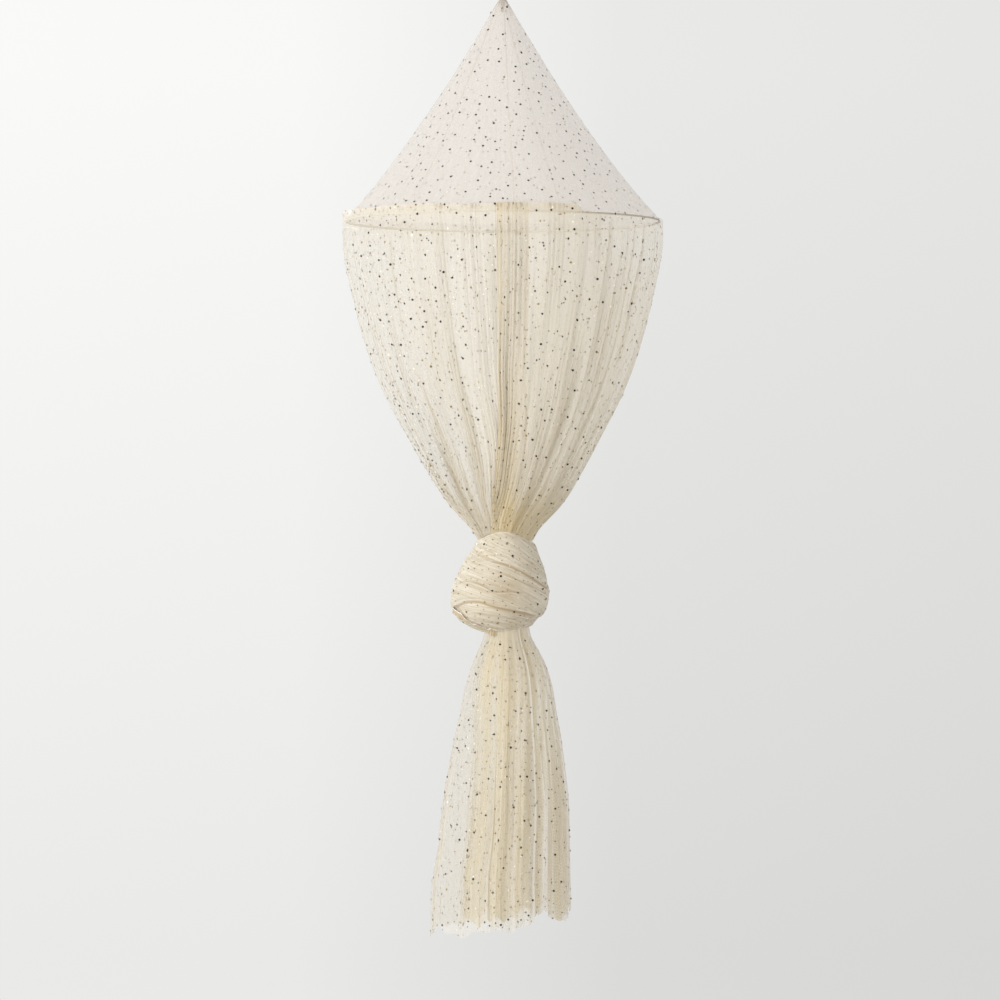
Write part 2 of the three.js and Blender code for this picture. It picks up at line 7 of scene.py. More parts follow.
import bmesh
import bpy
import numpy as np
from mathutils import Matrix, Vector


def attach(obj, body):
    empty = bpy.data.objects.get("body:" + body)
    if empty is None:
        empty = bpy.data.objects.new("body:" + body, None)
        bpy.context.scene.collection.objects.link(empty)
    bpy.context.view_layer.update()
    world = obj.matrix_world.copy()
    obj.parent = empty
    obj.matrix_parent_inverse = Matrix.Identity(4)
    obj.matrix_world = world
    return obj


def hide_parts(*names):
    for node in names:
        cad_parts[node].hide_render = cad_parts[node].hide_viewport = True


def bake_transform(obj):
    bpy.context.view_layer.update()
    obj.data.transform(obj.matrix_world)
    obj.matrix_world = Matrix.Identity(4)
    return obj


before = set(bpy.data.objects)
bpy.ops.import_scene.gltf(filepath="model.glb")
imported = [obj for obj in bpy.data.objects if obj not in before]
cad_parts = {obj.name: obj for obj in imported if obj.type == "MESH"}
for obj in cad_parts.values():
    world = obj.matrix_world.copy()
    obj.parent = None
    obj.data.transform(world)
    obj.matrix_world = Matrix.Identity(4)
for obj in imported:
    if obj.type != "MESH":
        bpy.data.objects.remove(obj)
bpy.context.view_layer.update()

# Sizes, as in the part's source
MM = 0.001
PAD_RADIUS, PAD_THICKNESS = 23 * MM, 1 * MM
PLATE_RADIUS, PLATE_BOTTOM = 22 * MM, -3.4 * MM
HOOK_WIRE, HOOK_BEND, RING_PIVOT = 1.8 * MM, 7 * MM, -30 * MM
RING_WIRE, RING_ARC, RING_CORNER, RING_ARC_Z, BAR_Z = 1.2 * MM, 8.2 * MM, 3 * MM, -34.9 * MM, -42.9 * MM
TAPE_WIDTH, TAPE_THICKNESS, TAPE_LENGTH = 10 * MM, 0.8 * MM, 73 * MM
NECK_TOP, CONE_TOP, CONE_BOTTOM = -56.9 * MM, -78.9 * MM, -497.9 * MM
NECK_RADIUS, CONE_RADIUS = 7 * MM, 299.1 * MM
HOOP_RADIUS, HOOP_Z, ROD_RADIUS, CASING_RADIUS = 298.5 * MM, -500.7 * MM, 1.5 * MM, 2.5 * MM
CURTAIN_TOP_RADIUS, CURTAIN_NECK_RADIUS, CURTAIN_LENGTH, HEADING = 304 * MM, 52 * MM, 608 * MM, 15 * MM
KNOT_TOP, KNOT_HEIGHT, KNOT_RADIUS = -1109 * MM, 168 * MM, 89 * MM
TAIL_PIVOT, TAIL_LENGTH, TAIL_TOP_LEAN = -1288.9 * MM, 547 * MM, 9 * MM
CONE_SEAMS = [radians(a) for a in (4, 153.5, 222)]
CURTAIN_LEAN, KNOT_HOLLOW, KNOT_ROLL = 5 * MM, 38 * MM, 6.5 * MM

# Cloth laid flat: lengths in metres, and the gores' square metres to a radian of the hoop
CLOTH_PER_PLEAT, CURTAIN_CUT, TAIL_CUT = 18.7 * MM, 0.64, 0.56
GORE_SLANT, GORE_AREA, CASING_CUT, RAW_CUT = 0.512, 0.0783, (1.82, 0.016), (0.15, 0.016)

# Outlines read from the front: a place, and a share of the full radius or a size in mm
CURTAIN_OUTLINE = [(0, 1), (0.08, 1), (0.24, 0.93), (0.41, 0.82), (0.54, 0.7), (0.675, 0.53), (0.78, 0.39),
                   (0.895, 0.21), (0.967, 0.05), (1, 0)]
KNOT_OUTLINE = [(-0.12, 0.55), (0, 0.6), (0.17, 0.76), (0.33, 0.9), (0.5, 0.995), (0.66, 1), (0.76, 0.985),
                (0.86, 0.9), (0.95, 0.72), (1.02, 0.5)]
KNOT_LEAN = [(0, 5), (0.17, 2), (0.33, -0.5), (0.5, -4), (0.66, -5), (0.8, -7), (0.9, -9), (1, -2)]
TAIL_OUTLINE = [(-0.04, 42), (0.017, 49), (0.045, 57), (0.1, 71), (0.19, 86), (0.27, 94), (0.33, 101),
                (0.5, 117), (0.6, 124), (0.71, 128), (0.82, 134), (1, 137)]
TAIL_LEAN = [(0, 10), (0.1, 12), (0.33, 10), (0.5, 7), (0.71, 3), (0.82, -2), (1, -3)]

# How closely the curtains are gathered: degrees from the front, and cloth against the hoop's own length
FULLNESS = [(-180, 1.0), (-140, 0.85), (-105, 0.5), (-75, 0.42), (-55, 0.55), (-35, 0.85), (-8, 1.0),
            (3, 1.2), (8, 0.95), (10.5, 0.6), (14, 1.0), (24, 1.25), (40, 1.15), (60, 0.85), (75, 0.5),
            (85, 0.45), (110, 0.6), (150, 0.9), (180, 1.0)]


# Helpers for curves and surfaces
def value_at(table, place):
    """A smooth curve through a table of (place, value)."""
    at, value = (np.array(column, float) for column in zip(*table))
    slope = np.gradient(value, at)
    place = np.clip(place, at[0], at[-1])
    i = np.clip(np.searchsorted(at, place) - 1, 0, len(at) - 2)
    span = at[i + 1] - at[i]
    s = (place - at[i]) / span
    start = value[i] * (1 + 2 * s) * (1 - s) ** 2 + slope[i] * span * s * (1 - s) ** 2
    return start + value[i + 1] * s * s * (3 - 2 * s) - slope[i + 1] * span * s * s * (1 - s)


def smooth(value, low, high):
    """0 up to low and 1 from high on, with a soft rise between. It falls where low is the greater."""
    s = np.clip((value - low) / (high - low), 0, 1)
    return s * s * (3 - 2 * s)


def smooth_turn(turn, low, high):
    """The same over a turn, with its limits in degrees."""
    return smooth(turn, radians(low), radians(high))


def bell(value, middle, width):
    """1 at the middle, and soft falls to both sides."""
    return np.exp(-((value - middle) / width) ** 2)


def drift(seed, turn, drop, waves=(1, 6), steep=4.0, count=7):
    """A soft random field over turn and drop, mostly from -1 to 1, that meets itself after a full turn."""
    rng = np.random.default_rng(seed)
    field = 0
    for _ in range(count):
        wave = rng.integers(*waves) * turn + rng.uniform(-steep, steep) * drop + rng.uniform(0, tau)
        field = field + np.cos(wave)
    return field / np.sqrt(count)


def around(turn, radius, lean, z):
    """Points at a turn and a radius, both measured about an upright line that leans to the right by lean."""
    turn, radius, lean, z = np.broadcast_arrays(turn, radius, lean, z)
    return np.stack([lean + radius * np.sin(turn), -radius * np.cos(turn), z], axis=-1)


def mesh_object(name, points, faces, material=None):
    mesh = bpy.data.meshes.new(name)
    mesh.from_pydata([tuple(p) for p in points], [], [tuple(f) for f in faces])
    piece = bpy.data.objects.new(name, mesh)
    bpy.context.scene.collection.objects.link(piece)
    if material is not None:
        mesh.materials.append(material)
    mesh.shade_smooth()
    return piece


def outward_of(points, lean):
    """The level direction away from the leaning middle line, at every point."""
    outward = points.copy()
    outward[..., 0] -= lean
    outward[..., 2] = 0
    return outward / (np.linalg.norm(outward, axis=-1, keepdims=True) + 1e-9)


def cloth_sheet(name, points, across, down, layers, material, joined=False, edging=0, upright=0.0, lean=0.0):
    """An open sheet from a grid of points, rows by columns, with its flat cut as the UV map in metres.

    Upright gives how far its shading follows the broad round shape instead of each small pleat.
    """
    grid = points.shape[:2]
    index = np.arange(grid[0] * grid[1]).reshape(grid)
    if joined:
        index = np.concatenate([index, index[:, :1]], axis=1)
    faces = np.stack([index[:-1, :-1], index[1:, :-1], index[1:, 1:], index[:-1, 1:]], axis=-1).reshape(-1, 4)
    piece = mesh_object(name, points.reshape(-1, 3), faces, material)
    mesh = piece.data
    flat = np.stack([np.broadcast_to(across, grid), np.broadcast_to(down, grid)], axis=-1)
    if joined:
        last = flat[:, -1:] + (flat[:, -1:] - flat[:, -2:-1])
        flat = np.concatenate([flat, last], axis=1)
    at = np.stack([flat[:-1, :-1], flat[1:, :-1], flat[1:, 1:], flat[:-1, 1:]], axis=-2).reshape(-1, 2)
    mesh.uv_layers.new(name="Cut")
    mesh.uv_layers["Cut"].data.foreach_set("uv", at.astype(np.float32).ravel())
    for label, field in (("layers", layers), ("edging", edging)):
        mesh.attributes.new(label, "FLOAT", "POINT")
        values = np.broadcast_to(field, grid).astype(np.float32)
        mesh.attributes[label].data.foreach_set("value", values.ravel())
    if upright:
        normals = np.zeros(points.size, np.float32)
        mesh.vertices.foreach_get("normal", normals)
        broad = outward_of(points, lean).reshape(-1, 3)
        normals = normals.reshape(-1, 3) * (1 - upright) + broad * upright
        normals /= np.linalg.norm(normals, axis=1, keepdims=True)
        mesh.normals_split_custom_set_from_vertices(normals.tolist())
    return piece


def cloth_layers(points, lean, most, joined=False):
    """How many times more cloth there is under a small width seen from outside than if it lay flat."""
    ahead, behind = np.roll(points, -1, axis=1), np.roll(points, 1, axis=1)
    if not joined:
        ahead[:, -1], behind[:, 0] = points[:, -1], points[:, 0]
    step = ahead - behind
    radial = (step * outward_of(points, lean)).sum(-1)
    length = np.linalg.norm(step[..., :2], axis=-1) + 1e-9
    return np.clip(1 / np.sqrt(np.clip(1 - (radial / length) ** 2, 0.01, 1)), 1, most)


def random_pleats(count, per_pleat, seed, joined=False):
    """Uneven pleats. Gives the pleat's number at every column, the share of the width there and the height."""
    rng = np.random.default_rng(seed)
    widths = rng.gamma(7, 1, count)
    edges = np.concatenate([[0], np.cumsum(widths)]) / widths.sum()
    number = np.linspace(0, count, count * per_pleat + (0 if joined else 1), endpoint=not joined)[None, :]
    heights = np.clip(rng.gamma(5, 0.2, count) * np.sqrt(widths / 7), 0.25, 1.8)
    height = np.interp(number, np.arange(count) + 0.5, heights, period=count if joined else None)
    return number, np.interp(number, np.arange(count + 1), edges), height


def fine_pleats(number, height, sway, uneven, least):
    """Pleats from 0 to their own height, which sway sideways and fade in and out on the way down."""
    return (0.5 - 0.5 * np.cos(tau * number + sway)) * np.clip(0.75 + 0.3 * uneven, least, 1.3) * height


def finish_piece(piece, body, slot, *nodes):
    """Gives a piece its body, and hides the nodes of the part that it stands for. A tail piece only has its
    place baked in.

    Its slot is not used.
    """
    if body == "tail":
        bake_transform(piece)
    else:
        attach(piece, body)
    if nodes:
        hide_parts(*nodes)


# Shader node helpers
def give(tree, socket, value):
    """A number or a colour is set on the socket, and another node's output is linked to it."""
    if isinstance(value, (int, float, tuple)):
        socket.default_value = value
    else:
        tree.links.new(value, socket)


def fill(tree, node, **sockets):
    """Gives the named sockets their values. A blank in a socket's name is written as an underscore."""
    for label, value in sockets.items():
        give(tree, node.inputs[label.replace("_", " ")], value)
    return node


def add_node(tree, kind, settings=(), **sockets):
    node = tree.nodes.new(kind)
    for setting, value in dict(settings).items():
        setattr(node, setting, value)
    return fill(tree, node, **sockets)


def place_group(tree, group, **sockets):
    return add_node(tree, "ShaderNodeGroup", {"node_tree": group}, **sockets).outputs[0]


def attribute(tree, name):
    return add_node(tree, "ShaderNodeAttribute", {"attribute_name": name}).outputs["Fac"]


def math_node(tree, operation, first, second):
    node = add_node(tree, "ShaderNodeMath", {"operation": operation})
    give(tree, node.inputs[0], first)
    give(tree, node.inputs[1], second)
    return node.outputs[0]


def weighted_sum(tree, *parts):
    total = 0.0
    for value, weight in parts:
        total = math_node(tree, "ADD", math_node(tree, "MULTIPLY", value, weight), total)
    return total


def map_range(tree, value, low, high, new_low, new_high):
    return add_node(tree, "ShaderNodeMapRange", Value=value, From_Min=low, From_Max=high, To_Min=new_low,
                    To_Max=new_high).outputs["Result"]


def colour_mix(tree, share, first, second):
    mix = add_node(tree, "ShaderNodeMix", {"data_type": "RGBA"}, Factor=share, A=first, B=second)
    return mix.outputs["Result"]


def bump(tree, height, strength, distance):
    return add_node(tree, "ShaderNodeBump", Height=height, Strength=strength, Distance=distance).outputs[0]


def new_material(name):
    material = bpy.data.materials.new(name)
    material.use_nodes = True
    tree = material.node_tree
    return material, tree, tree.nodes["Principled BSDF"]


def new_group(name, output, **inputs):
    """A node group that puts out one number. An input is a number where it has a value, and else a vector."""
    tree = bpy.data.node_groups.new(name, "ShaderNodeTree")
    for label, value in inputs.items():
        kind = "NodeSocketVector" if value is None else "NodeSocketFloat"
        socket = tree.interface.new_socket(name=label, in_out="INPUT", socket_type=kind)
        if value is not None:
            socket.default_value = value
    tree.interface.new_socket(name=output, in_out="OUTPUT", socket_type="NodeSocketFloat")
    return tree, tree.nodes.new("NodeGroupInput").outputs, tree.nodes.new("NodeGroupOutput")


def net_group():
    """The net of the tulle: 1 on a thread and 0 in a hole, from the flat cut in metres."""
    tree, given, end = new_group("Tulle net", "Thread", Cut=None, Pitch=0.002)
    turned = add_node(tree, "ShaderNodeMapping", Vector=given["Cut"], Rotation=(0, 0, radians(45)))
    settings = {"voronoi_dimensions": "2D", "feature": "DISTANCE_TO_EDGE"}
    cells = add_node(tree, "ShaderNodeTexVoronoi", settings, Vector=turned.outputs[0], Randomness=0.2,
                     Scale=math_node(tree, "DIVIDE", 1.0, given["Pitch"]))
    fill(tree, end, Thread=map_range(tree, cells.outputs["Distance"], 0.06, 0.2, 1.0, 0.0))
    return tree


def mottle_group():
    """Slight unevenness of colour over a given size."""
    tree, given, end = new_group("Uneven dye", "Mask", Vector=None, Size=0.05)
    noise = add_node(tree, "ShaderNodeTexNoise", Vector=given["Vector"],
                     Scale=math_node(tree, "DIVIDE", 1.0, given["Size"]), Detail=3)
    fill(tree, end, Mask=map_range(tree, noise.outputs["Fac"], 0.3, 0.7, 0.0, 1.0))
    return tree


def lines_group():
    """Fine lines along a direction, as brushed metal, gathered threads and tape ribs have."""
    tree, given, end = new_group("Fine lines", "Height", Vector=None, Pitch=0.002, Stretch=0.1)
    per_metre = math_node(tree, "DIVIDE", 1.0, given["Pitch"])
    along = math_node(tree, "MULTIPLY", per_metre, given["Stretch"])
    scale = add_node(tree, "ShaderNodeCombineXYZ", X=along, Y=per_metre, Z=per_metre)
    stretched = add_node(tree, "ShaderNodeVectorMath", {"operation": "MULTIPLY"})
    give(tree, stretched.inputs[0], given["Vector"])
    give(tree, stretched.inputs[1], scale.outputs[0])
    noise = add_node(tree, "ShaderNodeTexNoise", Vector=stretched.outputs[0], Scale=1, Detail=2)
    fill(tree, end, Height=noise.outputs["Fac"])
    return tree


NET, MOTTLE, LINES = net_group(), mottle_group(), lines_group()


def tulle(name, pale, deep, opacity, streaky=0.12, full=4.5):
    """Sheer net cloth. One layer hides opacity of what is behind it, and full layers have the deep colour."""
    material, tree, surface = new_material(name)
    cut = add_node(tree, "ShaderNodeUVMap", {"uv_map": "Cut"}).outputs[0]
    layers, edging = attribute(tree, "layers"), attribute(tree, "edging")
    net = place_group(tree, NET, Cut=cut)
    lengthwise = add_node(tree, "ShaderNodeMapping", Vector=cut, Rotation=(0, 0, radians(90))).outputs[0]
    streaks = place_group(tree, LINES, Vector=lengthwise, Pitch=0.0055, Stretch=0.02)
    grain = place_group(tree, MOTTLE, Vector=cut, Size=0.0045)
    uneven = math_node(tree, "MULTIPLY", map_range(tree, streaks, 0.35, 0.65, 1 - streaky, 1 + streaky),
                       map_range(tree, grain, 0.0, 1.0, 0.94, 1.06))
    thread = map_range(tree, net, 0.0, 1.0, opacity * 0.6, min(opacity * 2.0, 0.8))
    single = math_node(tree, "MULTIPLY", thread, uneven)
    clear = math_node(tree, "POWER", math_node(tree, "SUBTRACT", 1.0, single), layers)
    sewn = math_node(tree, "MULTIPLY", edging, 0.7)
    # Colour goes from pale to deep with more layers: partly the denser cloth's own colour, partly painted
    # shade in bunches.
    cloth = colour_mix(tree, map_range(tree, layers, 1.0, full, 0.0, 1.0), (*pale, 1), (*deep, 1))
    fill(tree, surface, Base_Color=colour_mix(tree, edging, cloth, (0.91, 0.87, 0.79, 1)),
         Alpha=math_node(tree, "MAXIMUM", math_node(tree, "SUBTRACT", 1.0, clear), sewn),
         Roughness=map_range(tree, net, 0.0, 1.0, 0.8, 0.6), Normal=bump(tree, net, 0.3, 0.0002),
         Sheen_Weight=0.2, Specular_IOR_Level=0.2)
    return material


def bunched_cloth(name, pale, deep):
    """Many layers of the same net pressed together: opaque, with fine threads and pleats along the wrap."""
    material, tree, surface = new_material(name)
    cut = add_node(tree, "ShaderNodeUVMap", {"uv_map": "Cut"}).outputs[0]
    place = add_node(tree, "ShaderNodeTexCoord").outputs["Object"]
    net = place_group(tree, NET, Cut=cut)
    threads = place_group(tree, LINES, Vector=cut, Pitch=0.0018, Stretch=0.04)
    pleats = place_group(tree, LINES, Vector=cut, Pitch=0.0052, Stretch=0.035)
    dye = place_group(tree, MOTTLE, Vector=place, Size=0.03)
    grain = place_group(tree, MOTTLE, Vector=place, Size=0.0035)
    lines = weighted_sum(tree, (threads, 0.55), (pleats, 0.45))
    # The low parts of the lines, which the bump sinks, take the deep colour: partly thread tone, partly
    # painted shade.
    shade = map_range(tree, lines, 0.40, 0.60, 1.0, 0.0)
    mixed = weighted_sum(tree, (shade, 0.6), (dye, 0.22), (grain, 0.18))
    colour = colour_mix(tree, mixed, (*pale, 1), (*deep, 1))
    # The crease attribute paints the knot's light and shade: paler ridges, partly doubled cloth and partly
    # painted highlight, and a darker colour as painted shadow in the grooves.
    crease = attribute(tree, "crease")
    colour = colour_mix(tree, map_range(tree, crease, 0.0, 1.0, 0.0, 1.0), colour,
                        (*(min(1.06 * c, 0.9) for c in pale), 1))
    colour = colour_mix(tree, map_range(tree, crease, 0.0, -1.0, 0.0, 1.0), colour,
                        (0.84 * deep[0], 0.76 * deep[1], 0.66 * deep[2], 1))
    fill(tree, surface, Base_Color=colour, Roughness=map_range(tree, net, 0.0, 1.0, 0.85, 0.65),
         Normal=bump(tree, weighted_sum(tree, (net, 0.05), (lines, 1.0)), 0.9, 0.002),
         Sheen_Weight=0.25, Specular_IOR_Level=0.2)
    return material


def plain_finish(name, colour, other, roughness, metallic=0.0, size=0.01, grain=0.0004, stretch=1.0,
                 relief=0.0001, gloss=0.5):
    """A hard surface with slight unevenness of colour, roughness and height."""
    material, tree, surface = new_material(name)
    place = add_node(tree, "ShaderNodeTexCoord").outputs["Object"]
    dye = place_group(tree, MOTTLE, Vector=place, Size=size)
    lines = place_group(tree, LINES, Vector=place, Pitch=grain, Stretch=stretch)
    fill(tree, surface, Base_Color=colour_mix(tree, dye, (*colour, 1), (*other, 1)),
         Roughness=map_range(tree, lines, 0.3, 0.7, roughness * 0.8, min(roughness * 1.25, 1)),
         Normal=bump(tree, lines, 0.2, relief), Metallic=metallic, Specular_IOR_Level=gloss)
    return material


CONE_CLOTH = tulle("Cone tulle", (0.82, 0.76, 0.70), (0.77, 0.70, 0.61), 0.36, streaky=0.08)
CURTAIN_CLOTH = tulle("Curtain tulle", (0.84, 0.77, 0.635), (0.77, 0.64, 0.40), 0.27, full=7.5)
# The casing's tulle is painted paler than the curtains' same cloth, as painted light against the shade it lies
# in.
CASING_CLOTH = tulle("Sewn tunnel tulle", (0.92, 0.88, 0.81), (0.90, 0.85, 0.77), 0.5)
TAIL_CLOTH = tulle("Tail tulle", (0.84, 0.775, 0.65), (0.81, 0.72, 0.53), 0.27)
INNER_CLOTH = tulle("Inner tail tulle", (0.72, 0.61, 0.35), (0.62, 0.50, 0.24), 0.50, streaky=0.3)
FRINGE_CLOTH = tulle("Raw edge tulle", (0.64, 0.53, 0.36), (0.54, 0.43, 0.28), 0.7)
KNOT_CLOTH = bunched_cloth("Knotted tulle", (0.83, 0.78, 0.67), (0.53, 0.45, 0.32))
NECK_CLOTH = bunched_cloth("Gathered neck tulle", (0.84, 0.78, 0.70), (0.68, 0.61, 0.52))
TAPE_CLOTH = plain_finish("Cotton tape", (0.78, 0.73, 0.62), (0.70, 0.64, 0.53), 0.85, size=0.002,
                          grain=0.0008, stretch=0.12, relief=0.003)
WHITE_PAINT = plain_finish("White painted metal", (0.78, 0.77, 0.74), (0.74, 0.73, 0.70), 0.38)
PAD_FOAM = plain_finish("Pad foam", (0.66, 0.66, 0.63), (0.58, 0.58, 0.55), 0.9, size=0.002, grain=0.0003)
RING_STEEL = plain_finish("Nickelled steel", (0.56, 0.56, 0.57), (0.46, 0.46, 0.47), 0.28, 1.0,
                          relief=0.00003)
ROD_STEEL = plain_finish("Spring steel", (0.20, 0.19, 0.18), (0.15, 0.14, 0.135), 0.5, 0.5, grain=0.0006)
JOINER_PLASTIC = plain_finish("Joiner plastic", (0.58, 0.58, 0.55), (0.53, 0.53, 0.50), 0.5)
# Foil dots in three looks: dark is painted reflection of dark surroundings, gold the foil's own, bright a
# painted glint.
DARK_FOIL = plain_finish("Dark foil dots", (0.014, 0.010, 0.006), (0.045, 0.030, 0.013), 0.5, size=0.02,
                         gloss=0.12)
GOLD_FOIL = plain_finish("Gold foil dots", (0.33, 0.235, 0.07), (0.18, 0.12, 0.035), 0.4, 0.3, size=0.02)
BRIGHT_FOIL = plain_finish("Bright foil dots", (0.95, 0.93, 0.85), (0.86, 0.8, 0.62), 0.25, 0.2, size=0.02)


# Ceiling fitting, ring and tape
def deselect():
    if bpy.context.object is not None and bpy.context.object.mode != "OBJECT":
        bpy.ops.object.mode_set(mode="OBJECT")
    bpy.ops.object.select_all(action="DESELECT")


def settle(piece, material):
    """Applies a new primitive's place and modifiers, so that its object sits at the origin."""
    deselect()
    piece.select_set(True)
    bpy.context.view_layer.objects.active = piece
    for modifier in list(piece.modifiers):
        bpy.ops.object.modifier_apply(modifier=modifier.name)
    bpy.ops.object.transform_apply(location=True, rotation=True, scale=True)
    piece.data.materials.clear()
    piece.data.materials.append(material)
    bpy.ops.object.shade_smooth_by_angle(angle=radians(35))
    return piece


def pick_faces(piece, wanted):
    """Goes to edit mode with only those faces selected whose middle and normal pass the test."""
    bpy.ops.object.mode_set(mode="EDIT")
    bpy.ops.mesh.select_mode(type="FACE")
    bpy.ops.mesh.select_all(action="DESELECT")
    bpy.ops.object.mode_set(mode="OBJECT")
    for face in piece.data.polygons:
        face.select = wanted(face.center, face.normal)
    bpy.ops.object.mode_set(mode="EDIT")


def facing_down(middle, normal):
    return normal.z < -0.9


def facing_up(middle, normal):
    return normal.z > 0.9


def round_blank(name, radius, low, high):
    deselect()
    bpy.ops.mesh.primitive_cylinder_add(vertices=96, radius=radius, depth=high - low,
                                        location=(0, 0, (low + high) / 2))
    piece = bpy.context.object
    piece.name = name
    bpy.ops.object.transform_apply(location=True)
    return piece


def push_out(x=0.0, y=0.0, z=0.0):
    bpy.ops.mesh.extrude_region_move(TRANSFORM_OT_translate={"value": (x, y, z)})


def round_edges(piece, width, segments, material):
    bpy.ops.object.mode_set(mode="OBJECT")
    rim = piece.modifiers.new("Rounded edges", "BEVEL")
    rim.width, rim.segments, rim.limit_method = width, segments, "ANGLE"
    return settle(piece, material)


def foam_pad():
    """Foam with a thin film of glue on both faces, set in a little from its cut edge."""
    film = 0.12 * MM
    piece = round_blank("mounting_pad", PAD_RADIUS, film - PAD_THICKNESS, -film)
    for facing, way in ((facing_up, 1), (facing_down, -1)):
        pick_faces(piece, facing)
        bpy.ops.mesh.inset(thickness=0.35 * MM)
        push_out(z=way * film)
    return round_edges(piece, 0.06 * MM, 2, PAD_FOAM)


def round_plate():
    """The plate with its stepped boss, which the hook's stem is set in."""
    piece = round_blank("round_plate", PLATE_RADIUS, PLATE_BOTTOM, -PAD_THICKNESS)
    pick_faces(piece, facing_down)
    bpy.ops.mesh.inset(thickness=PLATE_RADIUS - 7 * MM)
    push_out(z=-0.5 * MM)
    bpy.ops.mesh.inset(thickness=2.6 * MM)
    push_out(z=-1.2 * MM)
    return round_edges(piece, 0.45 * MM, 4, WHITE_PAINT)


def start_wire(name, place, turned, radius, sides=20):
    """A circle of edges, all selected in edit mode, to be drawn out and bent into a wire."""
    deselect()
    bpy.ops.mesh.primitive_circle_add(vertices=sides, radius=radius, location=place, rotation=turned)
    piece = bpy.context.object
    piece.name = name
    bpy.ops.object.transform_apply(location=True, rotation=True)
    bpy.ops.object.mode_set(mode="EDIT")
    bpy.ops.mesh.select_mode(type="VERT")
    bpy.ops.mesh.select_all(action="SELECT")
    return piece


def bend_wire(centre, axis, angle, steps):
    """Draws the wire on round an axis by the right-hand rule. Spin itself turns the other way."""
    bpy.ops.mesh.spin(steps=steps, angle=-angle, center=centre, axis=axis)


def end_wire(piece, material, closed=True):
    """Closes both ends and turns all faces outwards."""
    bpy.ops.mesh.select_all(action="DESELECT")
    if closed:
        bpy.ops.mesh.select_non_manifold()
        bpy.ops.mesh.fill_holes(sides=0)
    bpy.ops.mesh.select_all(action="SELECT")
    bpy.ops.mesh.remove_doubles(threshold=0.00001)
    bpy.ops.mesh.normals_make_consistent(inside=False)
    bpy.ops.object.mode_set(mode="OBJECT")
    return settle(piece, material)


def hook_wire():
    """Straight down, a double bend to the back, half a turn forward and up into a ball end."""
    bend_z, stem_end = RING_PIVOT + HOOK_BEND, PLATE_BOTTOM - 4 * MM
    drop = stem_end - bend_z
    lean = 2 * np.arctan2(HOOK_BEND, drop)
    bow = drop / (2 * sin(lean))
    piece = start_wire("hook_wire", (0, 0, PLATE_BOTTOM), (0, 0, 0), HOOK_WIRE)
    push_out(z=stem_end - PLATE_BOTTOM)
    bend_wire((0, bow, stem_end), (1, 0, 0), lean, 10)
    bend_wire((0, HOOK_BEND - bow, bend_z), (-1, 0, 0), lean, 10)
    bend_wire((0, 0, bend_z), (-1, 0, 0), pi, 28)
    ball, ball_z = 2.7 * MM, bend_z + 5 * MM
    last_z, last_radius = bend_z, HOOK_WIRE
    for angle in np.linspace(np.arcsin(HOOK_WIRE / ball), radians(170), 12):
        z, radius = ball_z - ball * cos(angle), ball * sin(angle)
        push_out(z=z - last_z)
        grow = radius / last_radius
        bpy.ops.transform.resize(value=(grow, grow, 1), center_override=(0, -HOOK_BEND, z))
        last_z, last_radius = z, radius
    return end_wire(piece, WHITE_PAINT)


def bent_ring():
    """The wire's two ends meet in the middle of the straight bar."""
    slit, bar_half, corner_z = 0.15 * MM, RING_ARC - RING_CORNER, BAR_Z + RING_CORNER
    piece = start_wire("bent_d_ring", (slit, 0, BAR_Z), (0, radians(90), 0), RING_WIRE)
    push_out(x=bar_half - slit)
    bend_wire((bar_half, 0, corner_z), (0, -1, 0), pi / 2, 8)
    push_out(z=RING_ARC_Z - corner_z)
    bend_wire((0, 0, RING_ARC_Z), (0, -1, 0), pi, 32)
    push_out(z=corner_z - RING_ARC_Z)
    bend_wire((-bar_half, 0, corner_z), (0, -1, 0), pi / 2, 8)
    push_out(x=bar_half - slit)
    return end_wire(piece, RING_STEEL)


finish_piece(foam_pad(), "ceiling_hook", "pad_foam", "adhesive_pad")
finish_piece(round_plate(), "ceiling_hook", "white_metal", "ceiling_plate")
finish_piece(hook_wire(), "ceiling_hook", "white_metal", "hook")
finish_piece(bent_ring(), "hanger_ring", "ring_steel", "d_ring")


def cord_along(name, points, radius, material, sides):
    """A bound cord: a round tube along a line of points."""
    deselect()
    curve = bpy.data.curves.new(name, "CURVE")
    curve.dimensions = "3D"
    curve.bevel_depth, curve.bevel_resolution, curve.use_fill_caps = radius, sides, True
    line = curve.splines.new("POLY")
    line.points.add(len(points) - 1)
    for point, at in zip(line.points, points):
        point.co = (*at, 1)
    piece = bpy.data.objects.new(name, curve)
    bpy.context.scene.collection.objects.link(piece)
    piece.select_set(True)
    bpy.context.view_layer.objects.active = piece
    bpy.ops.object.convert(target="MESH")
    return settle(bpy.context.object, material)


